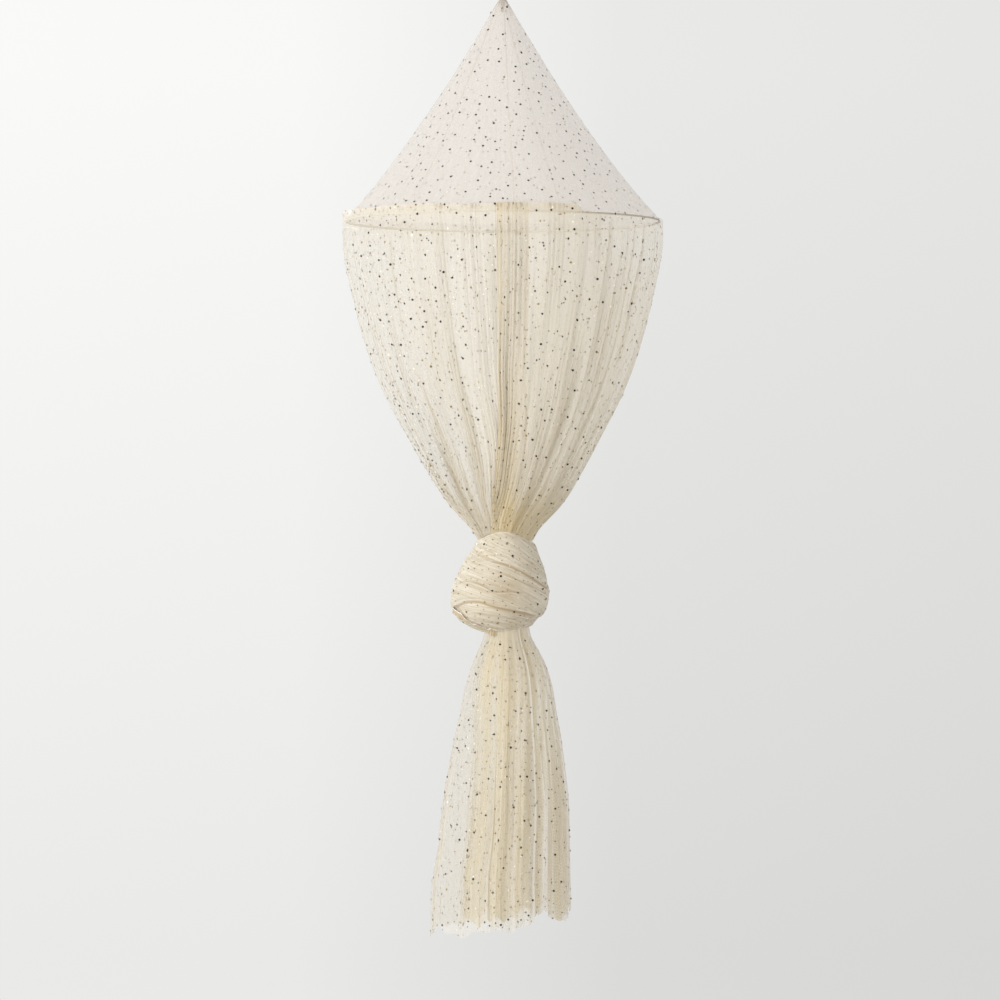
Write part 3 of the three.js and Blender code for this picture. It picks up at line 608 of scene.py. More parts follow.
def tape_strip():
    """A woven tape folded over the ring's bar, both ends sewn into the neck."""
    loop = RING_WIRE + 0.3 * MM + TAPE_THICKNESS / 2
    half = TAPE_THICKNESS / 2 + 0.05 * MM
    low = NECK_TOP - 20 * MM
    side = [(-half, low), (-half, NECK_TOP), (-half - 0.3 * MM, NECK_TOP + 3 * MM)]
    top = [(loop * cos(a), BAR_Z + loop * sin(a)) for a in np.linspace(pi, 0, 20)]
    profile = np.array(side + top + [(-y, z) for y, z in reversed(side)])
    steps = np.concatenate([[0], np.cumsum(np.linalg.norm(np.diff(profile, axis=0), axis=1))])
    fine = np.arange(0, steps[-1], 0.5 * MM)
    y, z = np.interp(fine, steps, profile[:, 0]), np.interp(fine, steps, profile[:, 1])
    x = np.linspace(-TAPE_WIDTH / 2, TAPE_WIDTH / 2, 21)
    points = np.zeros((len(fine), len(x), 3))
    points[..., 0], points[..., 1], points[..., 2] = x, y[:, None], z[:, None]
    piece = cloth_sheet("folded_tape", points, x, fine[:, None], 1, TAPE_CLOTH)
    thick = piece.modifiers.new("Thickness", "SOLIDIFY")
    thick.thickness, thick.offset = TAPE_THICKNESS * 0.9, 0
    return settle(piece, TAPE_CLOTH)


tape = tape_strip()
finish_piece(tape, "canopy", "tape_cloth", "hanging_tape")


# Neck: the cone's cloth bunched round the tape, bound with a thin cord
def turned_cloth(name, profile, pleats, depth, material, columns=288):
    """A closed bunch of cloth: an outline of (radius, z) turned round, with pleats of a given depth."""
    turn = np.linspace(0, tau, columns, endpoint=False)
    wave = 0.5 - 0.5 * np.cos(pleats * turn + 1.4 * drift(3, turn, 0))
    rings = [around(turn, radius - depth * min(1, radius / (4 * MM)) * wave, 0, z) for radius, z in profile]
    points = np.concatenate(rings + [np.array([[0, 0, profile[0][1]], [0, 0, profile[-1][1]]])])
    rows = len(profile)
    index = np.arange(rows * columns).reshape(rows, columns)
    faces = [(index[r, c], index[r + 1, c], index[r + 1, (c + 1) % columns], index[r, (c + 1) % columns])
             for r in range(rows - 1) for c in range(columns)]
    top, bottom = rows * columns, rows * columns + 1
    faces += [(top, index[0, c], index[0, (c + 1) % columns]) for c in range(columns)]
    faces += [(bottom, index[-1, (c + 1) % columns], index[-1, c]) for c in range(columns)]
    piece = mesh_object(name, points, faces, material)
    cut = piece.data.uv_layers.new(name="Cut")
    for loop in piece.data.loops:
        x, y, z = piece.data.vertices[loop.vertex_index].co
        cut.data[loop.index].uv = (z, np.arctan2(x, -y) * NECK_RADIUS)
    return piece


neck_profile = [(2 * MM, NECK_TOP + 0.4 * MM), (5 * MM, NECK_TOP + 0.8 * MM), (6.9 * MM, NECK_TOP - 0.8 * MM),
                (7 * MM, NECK_TOP - 2.6 * MM), (6.6 * MM, NECK_TOP - 4 * MM), (6.6 * MM, NECK_TOP - 14 * MM),
                (7 * MM, NECK_TOP - 16 * MM), (6.9 * MM, CONE_TOP), (6 * MM, CONE_TOP - 2 * MM),
                (4 * MM, CONE_TOP - 6 * MM), (3.4 * MM, CONE_TOP - 22 * MM)]
neck = turned_cloth("neck_bunch", neck_profile, 26, 0.9 * MM, NECK_CLOTH)
finish_piece(neck, "canopy", "cone_tulle", "neck_gather")

bound_turns, bound_radius, bound_top, bound_width = 8, 7.55 * MM, NECK_TOP - 3.7 * MM, 10.6 * MM
bound_turn = np.linspace(0, bound_turns * tau, bound_turns * 40)
binding_line = around(bound_turn, bound_radius, 0, bound_top - bound_width * bound_turn / (bound_turns * tau))
binding = cord_along("neck_cord_turns", binding_line, 0.66 * MM, TAPE_CLOTH, 3)
finish_piece(binding, "canopy", "tape_cloth", "neck_binding")


# Cone
def cone_radius(z):
    t = (CONE_TOP - z) / (CONE_TOP - CONE_BOTTOM)
    return NECK_RADIUS + (CONE_RADIUS - NECK_RADIUS) * (0.86 * t + 0.14 * t ** 3)


def gore(name, first, last, seed):
    """One panel of the cone. Its last edge runs under the next panel by a narrow seam."""
    rows, columns = 72, round((last - first) / radians(1.5))
    t = np.linspace(0, 1, rows)[:, None] ** 1.15
    z = CONE_TOP + (CONE_BOTTOM - CONE_TOP) * t
    radius = cone_radius(z)
    seam = np.array([-1.0, 0, 1.0, 3.5]) * MM / np.maximum(radius, 30 * MM)
    even = np.broadcast_to(np.linspace(first, last, columns, endpoint=False), (rows, columns))
    turn = np.concatenate([even, last + seam], axis=1)
    turn[:, columns - 1] = (turn[:, columns - 2] + turn[:, columns]) / 2
    under = np.zeros((1, columns + 4))
    under[0, -2:] = 0.6, 1
    stitches = np.zeros((1, columns + 4))
    stitches[0, -3] = 0.55
    pleat = 0.8 * MM * np.exp(-t / 0.07) * np.cos(44 * turn + 1.2 * np.sin(5 * turn))
    wander = 0.7 * MM * drift(seed, turn, 3 * t, (3, 14)) * smooth(t, 0.05, 0.5) * smooth(1 - t, 0, 0.15)
    pulled = -1.6 * MM * smooth(t, 0.25, 0.95) * smooth(1 - t, 0, 0.2) * (0.5 + 0.5 * np.cos(12 * turn))
    points = around(turn, radius + pleat + wander + pulled - 0.5 * MM * under, 0, z)
    layers = (1 + 0.35 * np.exp(-t / 0.06)) * (1 + 0.15 * under)
    across = (turn - first) * CONE_RADIUS * 0.62
    piece = cloth_sheet(name, points, across, 0.511 * t, layers, CONE_CLOTH, edging=stitches, upright=0.3)
    finish_piece(piece, "canopy", "cone_tulle", name.replace("sewn_", ""))
    return points


front_seam, right_seam, left_seam = CONE_SEAMS
right_points = gore("sewn_cone_gore_right", front_seam, right_seam, 11)
back_points = gore("sewn_cone_gore_back", right_seam, left_seam, 12)
left_points = gore("sewn_cone_gore_left", left_seam, front_seam + tau, 13)


# Hoop: spring-steel rod in a sewn casing that is open at the back, where a sleeve joins the rod's ends
def hoop_wire(name, start, angle, radius, way, steps):
    """A length of the hoop, drawn round from start, an angle from the back towards the right."""
    place = (HOOP_RADIUS * sin(start), HOOP_RADIUS * cos(start), HOOP_Z)
    piece = start_wire(name, place, (0, radians(90), -start), radius, 16)
    bend_wire((0, 0, HOOP_Z), (0, 0, way), angle, steps)
    return piece


half_slit, half_sleeve = 0.5 * MM / HOOP_RADIUS, radians(6.43)
rod = end_wire(hoop_wire("sprung_hoop", half_slit, tau - 2 * half_slit, ROD_RADIUS, -1, 224), ROD_STEEL)
finish_piece(rod, "canopy", "hoop_steel", "hoop_rod")
joiner = hoop_wire("hoop_sleeve", half_sleeve, 2 * half_sleeve, 2.7 * MM, 1, 12)
wall = joiner.modifiers.new("Wall", "SOLIDIFY")
wall.thickness, wall.offset = 0.9 * MM, -1
rounded = joiner.modifiers.new("Rounded ends", "BEVEL")
rounded.width, rounded.segments, rounded.limit_method = 0.25 * MM, 2, "ANGLE"
end_wire(joiner, JOINER_PLASTIC, closed=False)
finish_piece(joiner, "canopy", "joiner_plastic", "hoop_joiner")


def casing():
    """The sewn tunnel round the rod, slack and finely puckered along its stitches."""
    rows, columns = 13, 900
    turn = np.linspace(half_sleeve - pi, pi - half_sleeve, columns)[None, :]
    around_tube = np.linspace(0, tau, rows)[:, None]
    pucker = 0.35 * MM * np.sin(220 * turn + 2 * drift(21, turn, 0)) * (0.6 + 0.4 * np.cos(around_tube))
    tube = CASING_RADIUS - 0.3 * MM + pucker
    points = around(turn, HOOP_RADIUS + tube * np.cos(around_tube), 0, HOOP_Z + tube * np.sin(around_tube))
    bare = smooth_turn(turn, 15, 35) * smooth_turn(turn, 110, 95)
    piece = cloth_sheet("sewn_casing", points, turn * HOOP_RADIUS, around_tube * CASING_RADIUS,
                        5 * (1 - 0.92 * bare), CASING_CLOTH)
    finish_piece(piece, "canopy", "cone_tulle", "hoop_casing")


casing()


# Curtains
def curtain_radius(place):
    return CURTAIN_NECK_RADIUS + (CURTAIN_TOP_RADIUS - CURTAIN_NECK_RADIUS) * value_at(CURTAIN_OUTLINE, place)


def heading_height(turn):
    """The frill above the hoop. It is turned down from the right of the front to the right side."""
    frill = HEADING * (1 + 0.06 * np.sin(9 * turn) + 0.05 * np.sin(23 * turn + 1))
    right = smooth_turn(turn, 26, 30) * smooth(pi * 0.86 - turn, 0, 0.2)
    return frill * (1 - right) + 1.2 * MM * right


def curtain(name, start, end, pleats, seed, lift, thickness, node):
    """A gathered panel: fine pleats on broad folds, drawn in to the neck. Place 0 is the hoop and 1 the neck.

    Start and end are tables of the panel's upright edges, a place and degrees from the front.
    """
    number, share, height = random_pleats(pleats, 9, seed)
    head = np.linspace(1, 0, 6)[:-1]
    body = np.concatenate([[0, 0.004, 0.008], np.linspace(0.018, 1, 84)])
    place = np.concatenate([0 * head, body])[:, None]
    above = np.concatenate([head, 0 * body])[:, None]
    round_hoop = np.linspace(start[0][1], end[0][1], 721)
    cloth = np.cumsum(value_at(FULLNESS, round_hoop))
    even = np.interp(share, (cloth - cloth[0]) / (cloth[-1] - cloth[0]), np.linspace(0, 1, 721))
    first, last = radians(1) * value_at(start, place), radians(1) * value_at(end, place)
    turn = first + (last - first) * even
    full = value_at(FULLNESS, np.degrees(turn))
    full = full + (1 - full) * smooth(place, 0.7, 1.0)
    z = HOOP_Z - CURTAIN_LENGTH * place + above * heading_height(turn)
    slack = 0.3 + 0.7 * smooth(place, 0.0, 0.06) + 0.8 * smooth(above, 0.1, 0.9)
    sway = 1.9 * drift(seed + 1, turn * 2, 5 * place, (1, 9), 1.6) * smooth(place, 0, 0.5)
    fine = fine_pleats(number, height, sway, drift(seed + 2, turn * 3, 6 * place, (2, 12), 2.0), 0.2)
    medium = 0.5 + 0.5 * np.sin(tau * number / 3.6 + 2.2 * drift(seed + 3, turn, 2 * place, (1, 7), 1.2))
    broad = 0.5 + 0.5 * np.sin(13 * turn + 1.5 * drift(seed + 4, turn, 2 * place, (1, 5), 1.0))
    depth = slack * full * ((6.0 + 2.0 * place) * fine
                            + 3.0 * medium * (0.4 + 0.6 * smooth(place, 0, 0.3))) * MM
    depth = depth + 5.5 * MM * broad * smooth(place, 0.02, 0.3) * (1 - 0.6 * smooth(place, 0.8, 1))
    radius = curtain_radius(place) - depth * np.minimum(1, curtain_radius(place) / (90 * MM)) + lift
    if lift == 0:
        radius = radius - 5 * MM * smooth_turn(turn, -8, 0) * smooth(place, 0, 0.1)
    lean = CURTAIN_LEAN * place ** 2
    points = around(turn, radius + 1.5 * MM * above ** 2, lean, z)
    spare = 1 + 0.5 * smooth(0.06 - place, 0, 0.06) + (2.0 * thickness - 1.8) * smooth(place, 0.8, 1)
    pleated = cloth_layers(points, lean, 4.5)
    calm = 0.85 * bell(turn, 0, radians(13)) + 0.65 * smooth_turn(turn, 15, 30)
    pleated = pleated * (1 - calm) + pleated.mean(axis=1, keepdims=True) * calm
    layers = (0.5 + 0.5 * pleated) * spare * (0.45 + 0.55 * full) * thickness
    middle = bell(turn, radians(2), radians(15))
    thin_side = smooth_turn(-turn, 15, 40) * (turn > -2)
    layers = layers * (1 + (0.9 * middle - 0.5 * thin_side) * smooth(place, 0.35, 0.85))
    edge = np.minimum(share, 1 - share)
    behind = smooth(-np.cos(turn), -0.1, 0.4)
    layers = layers * (1 + 0.8 * (edge < 0.012)) * (1 + (above > 0.05) * (0.3 - 0.9 * behind))
    layers = layers * (1 - 0.42 * smooth(0.3 - place, 0, 0.3) * smooth_turn(turn, 25, 50))
    width = CLOTH_PER_PLEAT * pleats
    down = CURTAIN_LENGTH * place - above * HEADING
    piece = cloth_sheet(name, points, share * width, down, layers, CURTAIN_CLOTH, edging=0.5 * (edge < 0.002),
                        upright=0.65 + 0.2 * (lift > 0), lean=lean)
    finish_piece(piece, "canopy", "curtain_tulle", node)
    return points


LEFT_EDGE = [(0, 9.2), (0.5, 11), (0.78, 14), (1, 4)]
RIGHT_EDGE = [(0, -2.2), (0.45, -2.6), (0.72, -4.5), (0.85, -10), (1, -28)]
left_curtain = curtain("gathered_curtain_left", [(0, -180), (1, -180)], LEFT_EDGE, pleats=80, seed=31, lift=0,
                       thickness=1.0, node="curtain_left")
right_curtain = curtain("gathered_curtain_right", RIGHT_EDGE, [(0, 180), (1, 180)], pleats=76, seed=41,
                        lift=1.6 * MM, thickness=1.5, node="curtain_right")


# Knot
def knot_radius(turn, place):
    """The outline from the front, with the collar that rises in front of the neck."""
    radius = KNOT_RADIUS * value_at(KNOT_OUTLINE, place)
    front = bell(np.clip(turn, -pi, pi), 0, radians(55))
    collar = 65 * MM + 14 * MM * smooth(place, -0.1, 0.3)
    return radius + front * np.maximum(collar - radius, 0) * (1 - smooth(place, 0.1, 0.4))


def knot_lean(place):
    return value_at(KNOT_LEAN, place) * MM


def first_crease(turn):
    """Between the top and the middle turn: steep across the right of the front, level behind."""
    side = np.sin(turn)
    front = 0.27 + 0.13 * side + 0.16 * np.maximum(side, 0) ** 2
    return front + (0.40 - front) * smooth(-np.cos(turn), -0.35, 1.0)


SECOND_CREASE = [(-180, 0.76), (-110, 0.77), (-70, 0.735), (-47, 0.68), (-25, 0.675), (-10, 0.715),
                 (14, 0.765), (42, 0.81), (75, 0.86), (125, 0.83), (180, 0.76)]


def second_crease(turn):
    return value_at(SECOND_CREASE, np.degrees(turn))


def open_front(turn):
    """How openly the first crease shows: not at all on the left, where both turns are one bunch."""
    return smooth_turn(turn, -25, 10) * smooth_turn(turn, 100, 70) + 0.12


def folds_along(turn, place, q, seed):
    """Pleats of three widths that run with a turn of the knot, crisp on their upper side."""
    folds = 0
    for i, (pitch, height) in enumerate([(27 * MM, 0.5 * MM), (8.5 * MM, 0.3 * MM), (4.2 * MM, 0.34 * MM)]):
        warp = 1.3 * drift(seed + i, turn, 9 * place, (1, 5), 1.2)
        warp = warp + 0.35 * drift(seed + 9 + i, turn, 20 * place, (3, 9))
        fade = np.clip(0.35 + 0.7 * drift(seed + 20 + i, turn, 8 * place, (1, 6)), 0.0, 1.3)
        wave = (q / pitch + warp / pi) % 1
        folds = folds + height * fade * (np.minimum(wave / 0.3, (1 - wave) / 0.7) ** 0.8 - 0.5)
    return folds


# Single folds seen on the front. Each has its way in degrees and place, its height and its reach above and
# below in mm, how pale its ridge is painted, as doubled cloth and painted highlight, and how dark the painted
# shadow in the groove under it is, or above it where that is below 0.
KNOT_FOLDS = [
    ([(-8, 0.36), (12, 0.42), (35, 0.51), (60, 0.60), (88, 0.67)], 1.6, 1.2, 7.0, 0.5, -0.4),
    ([(-92, 0.62), (-78, 0.584), (-43, 0.472), (-22, 0.515), (-10, 0.575), (13, 0.584), (40, 0.61)],
     2.6, 2.2, 9.0, 0.3, -0.4),
    ([(-64, 0.19), (-25, 0.085), (0, 0.075), (34, 0.135)], 1.0, 5.0, 1.4, 0.2, 0.15),
    ([(-66, 0.30), (-30, 0.155), (5, 0.16), (50, 0.28)], 1.1, 5.0, 1.4, 0.2, 0.15),
    ([(-62, 0.38), (-25, 0.235), (10, 0.25), (40, 0.34)], 1.1, 5.0, 1.4, 0.2, 0.15),
    ([(-66, 0.83), (-20, 0.80), (20, 0.86), (62, 0.93)], 1.0, 6.0, 1.4, 0.25, 0.15),
    ([(-56, 0.90), (-10, 0.895), (34, 0.95)], 0.9, 5.0, 1.4, 0.25, 0.15),
    ([(-106, 0.665), (-80, 0.70), (-61, 0.75), (-50, 0.83), (-44, 0.88), (-25, 0.95), (-4, 0.975)],
     0.8, 4.0, 1.5, 0.0, 0.45),
]


def single_folds(turn, place):
    """Height of the folds and their painted light: 1 is a painted highlight on a ridge, -1 painted shadow in a
    groove.
    """
    height, painted_light_shade = 0, 0
    along = np.degrees(turn)
    for line, size, above, below, pale, dark in KNOT_FOLDS:
        off = (place - value_at(line, along)) * KNOT_HEIGHT / MM
        ends = smooth(along, line[0][0], line[0][0] + 18) * smooth(line[-1][0] - along, 0, 22)
        height = height + size * MM * ends * bell(off, 0, np.where(off < 0, above, below))
        side = 1 if dark > 0 else -1
        # Each ridge is painted paler, partly as doubled cloth and partly as painted highlight; each groove
        # gets painted shadow.
        painted_light_shade = painted_light_shade + ends * (pale * bell(off, 0, 1.1) - abs(dark) * bell(off * side, 3.0, 1.6))
    return height, painted_light_shade


def knot_band(name, upper, lower, proud, tucks, edges, seed, slope, *nodes):
    """One turn of bunched cloth with folds along it. Its edges roll in, or run under the neighbouring turn.

    Upper, lower, edges and slope are functions of the turn. They give the band's borders, how far each border
    rolls in, and the way of its folds. Tucks say how far each border runs under the neighbouring turn.
    """
    rows, columns = 96, 440
    turn = np.linspace(-pi, pi, columns, endpoint=False)[None, :]
    v = np.linspace(0, 1, rows)[:, None]
    top, bottom = upper(turn) - tucks[0], lower(turn) + tucks[1]
    place = top + (bottom - top) * v
    base = knot_radius(turn, place)
    q = (place - slope(turn)) * KNOT_HEIGHT
    folds = folds_along(turn, place, q, seed)
    lump = 1.8 * MM * drift(seed + 30, turn, 8 * place, (1, 4), 1.0)
    edge = np.where(v < 0.5, 1 - v / 0.10, 1 - (1 - v) / 0.10)
    roll = 1 - np.sqrt(1 - np.clip(edge, 0, 0.999) ** 2)
    strength = np.where(v < 0.5, edges[0](turn), edges[1](turn))
    tucked = tucks[0] * smooth(0.25 - v, 0, 0.25) + tucks[1] * smooth(v - 0.75, 0, 0.25)
    lip = 2.0 * MM * bell(np.abs(2 * v - 1), 0.80, 0.10) * strength
    height, painted_light_shade = single_folds(turn, place)
    radius = base + folds * (1 - 0.6 * np.clip(edge, 0, 1)) + height + lump + proud + lip
    # Open edges are painted paler: partly the doubled cloth of the roll and partly painted highlight on the
    # proud edge.
    painted_light_shade = painted_light_shade + 0.9 * (bell(v, 0.02, 0.022) * edges[0](turn) * (tucks[0] == 0)
                         + bell(v, 0.98, 0.022) * edges[1](turn) * (tucks[1] == 0))
    # Painted shadow cast by the proud middle turn: just above the first crease and just below the second.
    painted_light_shade = painted_light_shade - 0.9 * bell(place, first_crease(turn) - 0.012, 0.014) * open_front(turn) * (tucks[1] > 0)
    painted_light_shade = painted_light_shade - 0.9 * bell(place, second_crease(turn) + 0.014, 0.014) * front_only(turn) * (tucks[0] > 0)
    # A broad patch of painted shade on the middle of the front; the next line makes the cloth darker towards
    # the bottom.
    painted_light_shade = painted_light_shade - 0.55 * bell(turn, radians(8), radians(26)) * bell(place, 0.55, 0.20)
    painted_light_shade = painted_light_shade - 0.18 * smooth(place, 0.72, 0.80)
    radius = radius - KNOT_ROLL * roll * strength - tucked * KNOT_HEIGHT * 0.45
    z = KNOT_TOP - place * KNOT_HEIGHT
    outer = around(turn, radius, knot_lean(place), z)
    inner = around(turn, KNOT_HOLLOW, TAIL_TOP_LEAN * 0.5, z[[0, -1]])
    points = np.concatenate([inner[:1], outer, inner[1:]])
    down = np.concatenate([q[:1] - 0.03, q, q[-1:] + 0.03])
    piece = cloth_sheet(name, points, turn * KNOT_RADIUS, down, 1, KNOT_CLOTH, joined=True)
    closing = bmesh.new()
    closing.from_mesh(piece.data)
    closing.verts.ensure_lookup_table()
    last = (len(points) - 1) * columns
    for c in range(columns):
        d = (c + 1) % columns
        closing.faces.new([closing.verts[i] for i in (last + c, c, d, last + d)])
    bmesh.ops.recalc_face_normals(closing, faces=closing.faces)
    closing.to_mesh(piece.data)
    closing.free()
    piece.data.shade_smooth()
    painted_light_shade = np.concatenate([0 * turn, np.clip(painted_light_shade, -1, 1) + 0 * turn, 0 * turn])
    piece.data.attributes.new("crease", "FLOAT", "POINT")
    piece.data.attributes["crease"].data.foreach_set("value", painted_light_shade.astype(np.float32).ravel())
    finish_piece(piece, "canopy", "knot_tulle", *nodes)
    return outer


def collar_edge(turn):
    return 0.02 * np.sin(turn + 0.5) * bell(turn, 0, 1.2) - 0.115 * bell(turn, 0, radians(42))


def knot_bottom(turn):
    return 1.0 + 0.03 * np.cos(turn + 0.9)


def closed(turn):
    return 0.7 + 0 * turn


def front_only(turn):
    """How openly the second crease shows: across the front, and hardly at the sides."""
    return 0.15 + 0.85 * smooth_turn(turn, -88, -60) * smooth_turn(turn, 75, 35)


def steep_slope(turn):
    return 0.17 * np.sin(turn) + 0.12 * np.maximum(np.sin(turn), 0) ** 2


def level_slope(turn):
    return 0.09 * np.sin(turn + 0.3) - 0.04 * np.cos(turn)


top_points = knot_band("knot_top_turn", collar_edge, first_crease, 0, (0, 0.12), (closed, closed), 51,
                       steep_slope, "knot_top_wrap", "knot_core")
bottom_points = knot_band("knot_bottom_turn", second_crease, knot_bottom, -0.6 * MM, (0.12, 0),
                          (closed, closed), 71, level_slope, "knot_bottom_wrap")
middle_points = knot_band("knot_middle_turn", first_crease, second_crease, 3.4 * MM, (0, 0),
                          (open_front, front_only), 61, steep_slope, "knot_middle_wrap")

RIM = [(-104, 0.70), (-80, 0.735), (-61, 0.785), (-50, 0.86), (-44, 0.91), (-25, 0.985), (-12, 1.0)]


def raw_edge():
    """The cloth's raw edge that shows under the knot's lower left, ruffled and scalloped."""
    rows, columns = 18, 300
    s = np.linspace(0, 1, columns)[None, :]
    v = np.linspace(0, 1, rows)[:, None]
    first, last = RIM[0][0], RIM[-1][0]
    turn = radians(first) + radians(last - first) * s
    width = 0.080 * (1 + 0.10 * np.sin(31 * s) + 0.12 * np.sin(67 * s + 1))
    scallop = 0.42 * np.abs(np.sin(13 * s + 0.8 * np.sin(9 * s))) - 0.2
    place = value_at(RIM, np.degrees(turn)) + (v + scallop * (1 - v)) * width
    ends = smooth(s, 0, 0.4) * smooth(1 - s, 0, 0.12)
    ruffle = 2.0 * MM * v * np.sin(95 * s + 3 * v + 2 * np.sin(13 * s))
    lifted = 1.2 * MM * bell(v, 0.08, 0.09)
    radius = knot_radius(turn, place) + ((2.6 + 3.2 * v) * MM + ruffle + lifted) * ends - 2 * MM * (1 - ends)
    points = around(turn, radius, knot_lean(place), KNOT_TOP - place * KNOT_HEIGHT)
    piece = cloth_sheet("knot_raw_edge", points, s * RAW_CUT[0], v * RAW_CUT[1], 3.0 - 1.0 * v, FRINGE_CLOTH,
                        edging=1.4 * smooth(v, 0.22, 0.08))
    finish_piece(piece, "canopy", "knot_tulle", "knot_edge_flap")


raw_edge()


# Tail
def tail_panel(name, start, end, pleats, seed, inset, shrink, shortfall, width, fullness, cloth, node,
               joined=False):
    """Loose ends below the knot. Place 0 is the pivot in the knot's underside and 1 the ragged hem.

    Inset as a length and shrink as a share make it narrower than the tail. Shortfall makes it shorter.
    """
    number, share, height = random_pleats(pleats, 11, seed, joined)
    place = np.concatenate([[-0.04, -0.025, -0.01], np.linspace(0.004, 1, 84)])[:, None]
    turn = start + (end - start) * (share + 0.010 * np.sin(tau * 3 * share + seed) * smooth(place, 0, 0.4))
    full = value_at(fullness, np.degrees(turn))
    outline = value_at(TAIL_OUTLINE, place) * MM
    outline = outline * (1 - shrink * smooth(place, 0.0, 0.55)) - inset
    sway = 1.6 * drift(seed + 1, turn * 2, 4 * place, (1, 7), 1.6) * smooth(place, 0.05, 0.6)
    fine = fine_pleats(number, height, sway, drift(seed + 2, turn * 2, 5 * place, (1, 9), 2.0), 0.25)
    phase = 13 * turn if joined else tau * number / 3
    medium = 0.5 + 0.5 * np.sin(phase + 1.8 * drift(seed + 3, turn, 2 * place, (1, 6), 1.0))
    depth = (2.0 + 4.5 * smooth(place, 0, 0.7)) * fine + (1.5 + 8.0 * smooth(place, 0.02, 0.8)) * medium
    radius = outline - depth * full * MM * smooth(place, -0.04, 0.05)
    rag = (7 * np.sin(7 * turn) + 6 * np.cos(4 * turn + 1) + 3.5 * np.sin(19 * turn + seed)
           + 2.2 * np.abs(np.sin(61 * turn)) + 1.6 * np.sin(143 * turn + seed)) * MM
    length = TAIL_LENGTH - 15 * MM * np.sin(turn) + rag - shortfall
    z = TAIL_PIVOT - length * place
    lean = value_at(TAIL_LEAN, place) * MM
    points = around(turn, radius, lean, z)
    spare = 1 + 0.6 * smooth(0.2 - place, 0, 0.2)
    layers = 1.15 * (0.5 + 0.5 * cloth_layers(points, lean, 4.0, joined)) * spare * (0.4 + 0.6 * full)
    if joined:
        gathered = bell(turn, 0.16, radians(42)) * (0.75 + 0.5 * np.sin(9 * turn + 2))
        layers = layers * (0.05 + (2.0 + 1.5 * smooth(0.35 - place, 0, 0.3)) * gathered)
        edging = 0
    else:
        edge = np.minimum(share, 1 - share)
        layers = layers * (1 + 0.8 * (edge < 0.02))
        edging = 0.4 * (edge < 0.010) + 0.62 * bell(turn, radians(28.5), radians(2.0))
    piece = cloth_sheet(name, points, share * width, TAIL_LENGTH * place, layers, cloth, joined, edging,
                        upright=0.5, lean=lean)
    finish_piece(piece, "tail", "tail_tulle", node)
    return points


LEFT_FULLNESS = [(-180, 0.9), (-120, 0.6), (-75, 0.35), (-45, 0.4), (-25, 0.5), (-5, 0.6), (20, 0.7),
                 (35, 0.8), (180, 1)]
RIGHT_FULLNESS = [(-180, 1), (-10, 0.8), (10, 0.5), (22, 0.6), (36, 1.35), (50, 1.5), (75, 1.2), (90, 0.8),
                  (180, 0.9)]
tail_left_points = tail_panel("flared_tail_left", -pi, radians(31), pleats=34, seed=81, inset=0, shrink=0.0,
                              shortfall=0, width=0.60, fullness=LEFT_FULLNESS, cloth=TAIL_CLOTH,
                              node="tail_left")
tail_right_points = tail_panel("flared_tail_right", radians(-8), pi, pleats=30, seed=91, inset=2.2 * MM,
                               shrink=0.0, shortfall=8 * MM, width=0.57, fullness=RIGHT_FULLNESS,
                               cloth=TAIL_CLOTH, node="tail_right")
tail_inner_points = tail_panel("folded_tail_inner", -pi, pi, pleats=44, seed=101, inset=7 * MM, shrink=0.35,
                               shortfall=16 * MM, width=0.77, fullness=[(-180, 1), (180, 1)],
                               cloth=INNER_CLOTH, node="tail_inner", joined=True)


# Glitter: small flat dots of foil pressed on the cloth at random
def scatter(grid, per_metre, crowd, rng):
    """Places on a grid of cloth points, at random but not close together.

    Crowd says how much denser they lie at the last row than at the first.
    """
    across, down = grid[:-1, 1:] - grid[:-1, :-1], grid[1:, :-1] - grid[:-1, :-1]
    area = np.linalg.norm(np.cross(across, down), axis=-1)
    area = (area * (1 + (crowd - 1) * smooth(np.linspace(0, 1, len(area)), 0.5, 1.0)[:, None])).ravel()
    wanted = int(area.sum() * per_metre)
    cell = rng.choice(area.size, 5 * wanted, p=area / area.sum())
    r, c = np.divmod(cell, grid.shape[1] - 1)
    u, v = rng.uniform(0, 1, (2, cell.size))[:, :, None]
    at = grid[r, c] + across[r, c] * u + down[r, c] * v
    kept, apart = [], 0.62 / np.sqrt(per_metre * crowd)
    for i in range(cell.size):
        if len(kept) == wanted:
            break
        if not kept or np.min(((at[kept] - at[i]) ** 2).sum(1)) > apart ** 2:
            kept.append(i)
    return at[kept], across[r, c][kept], down[r, c][kept]


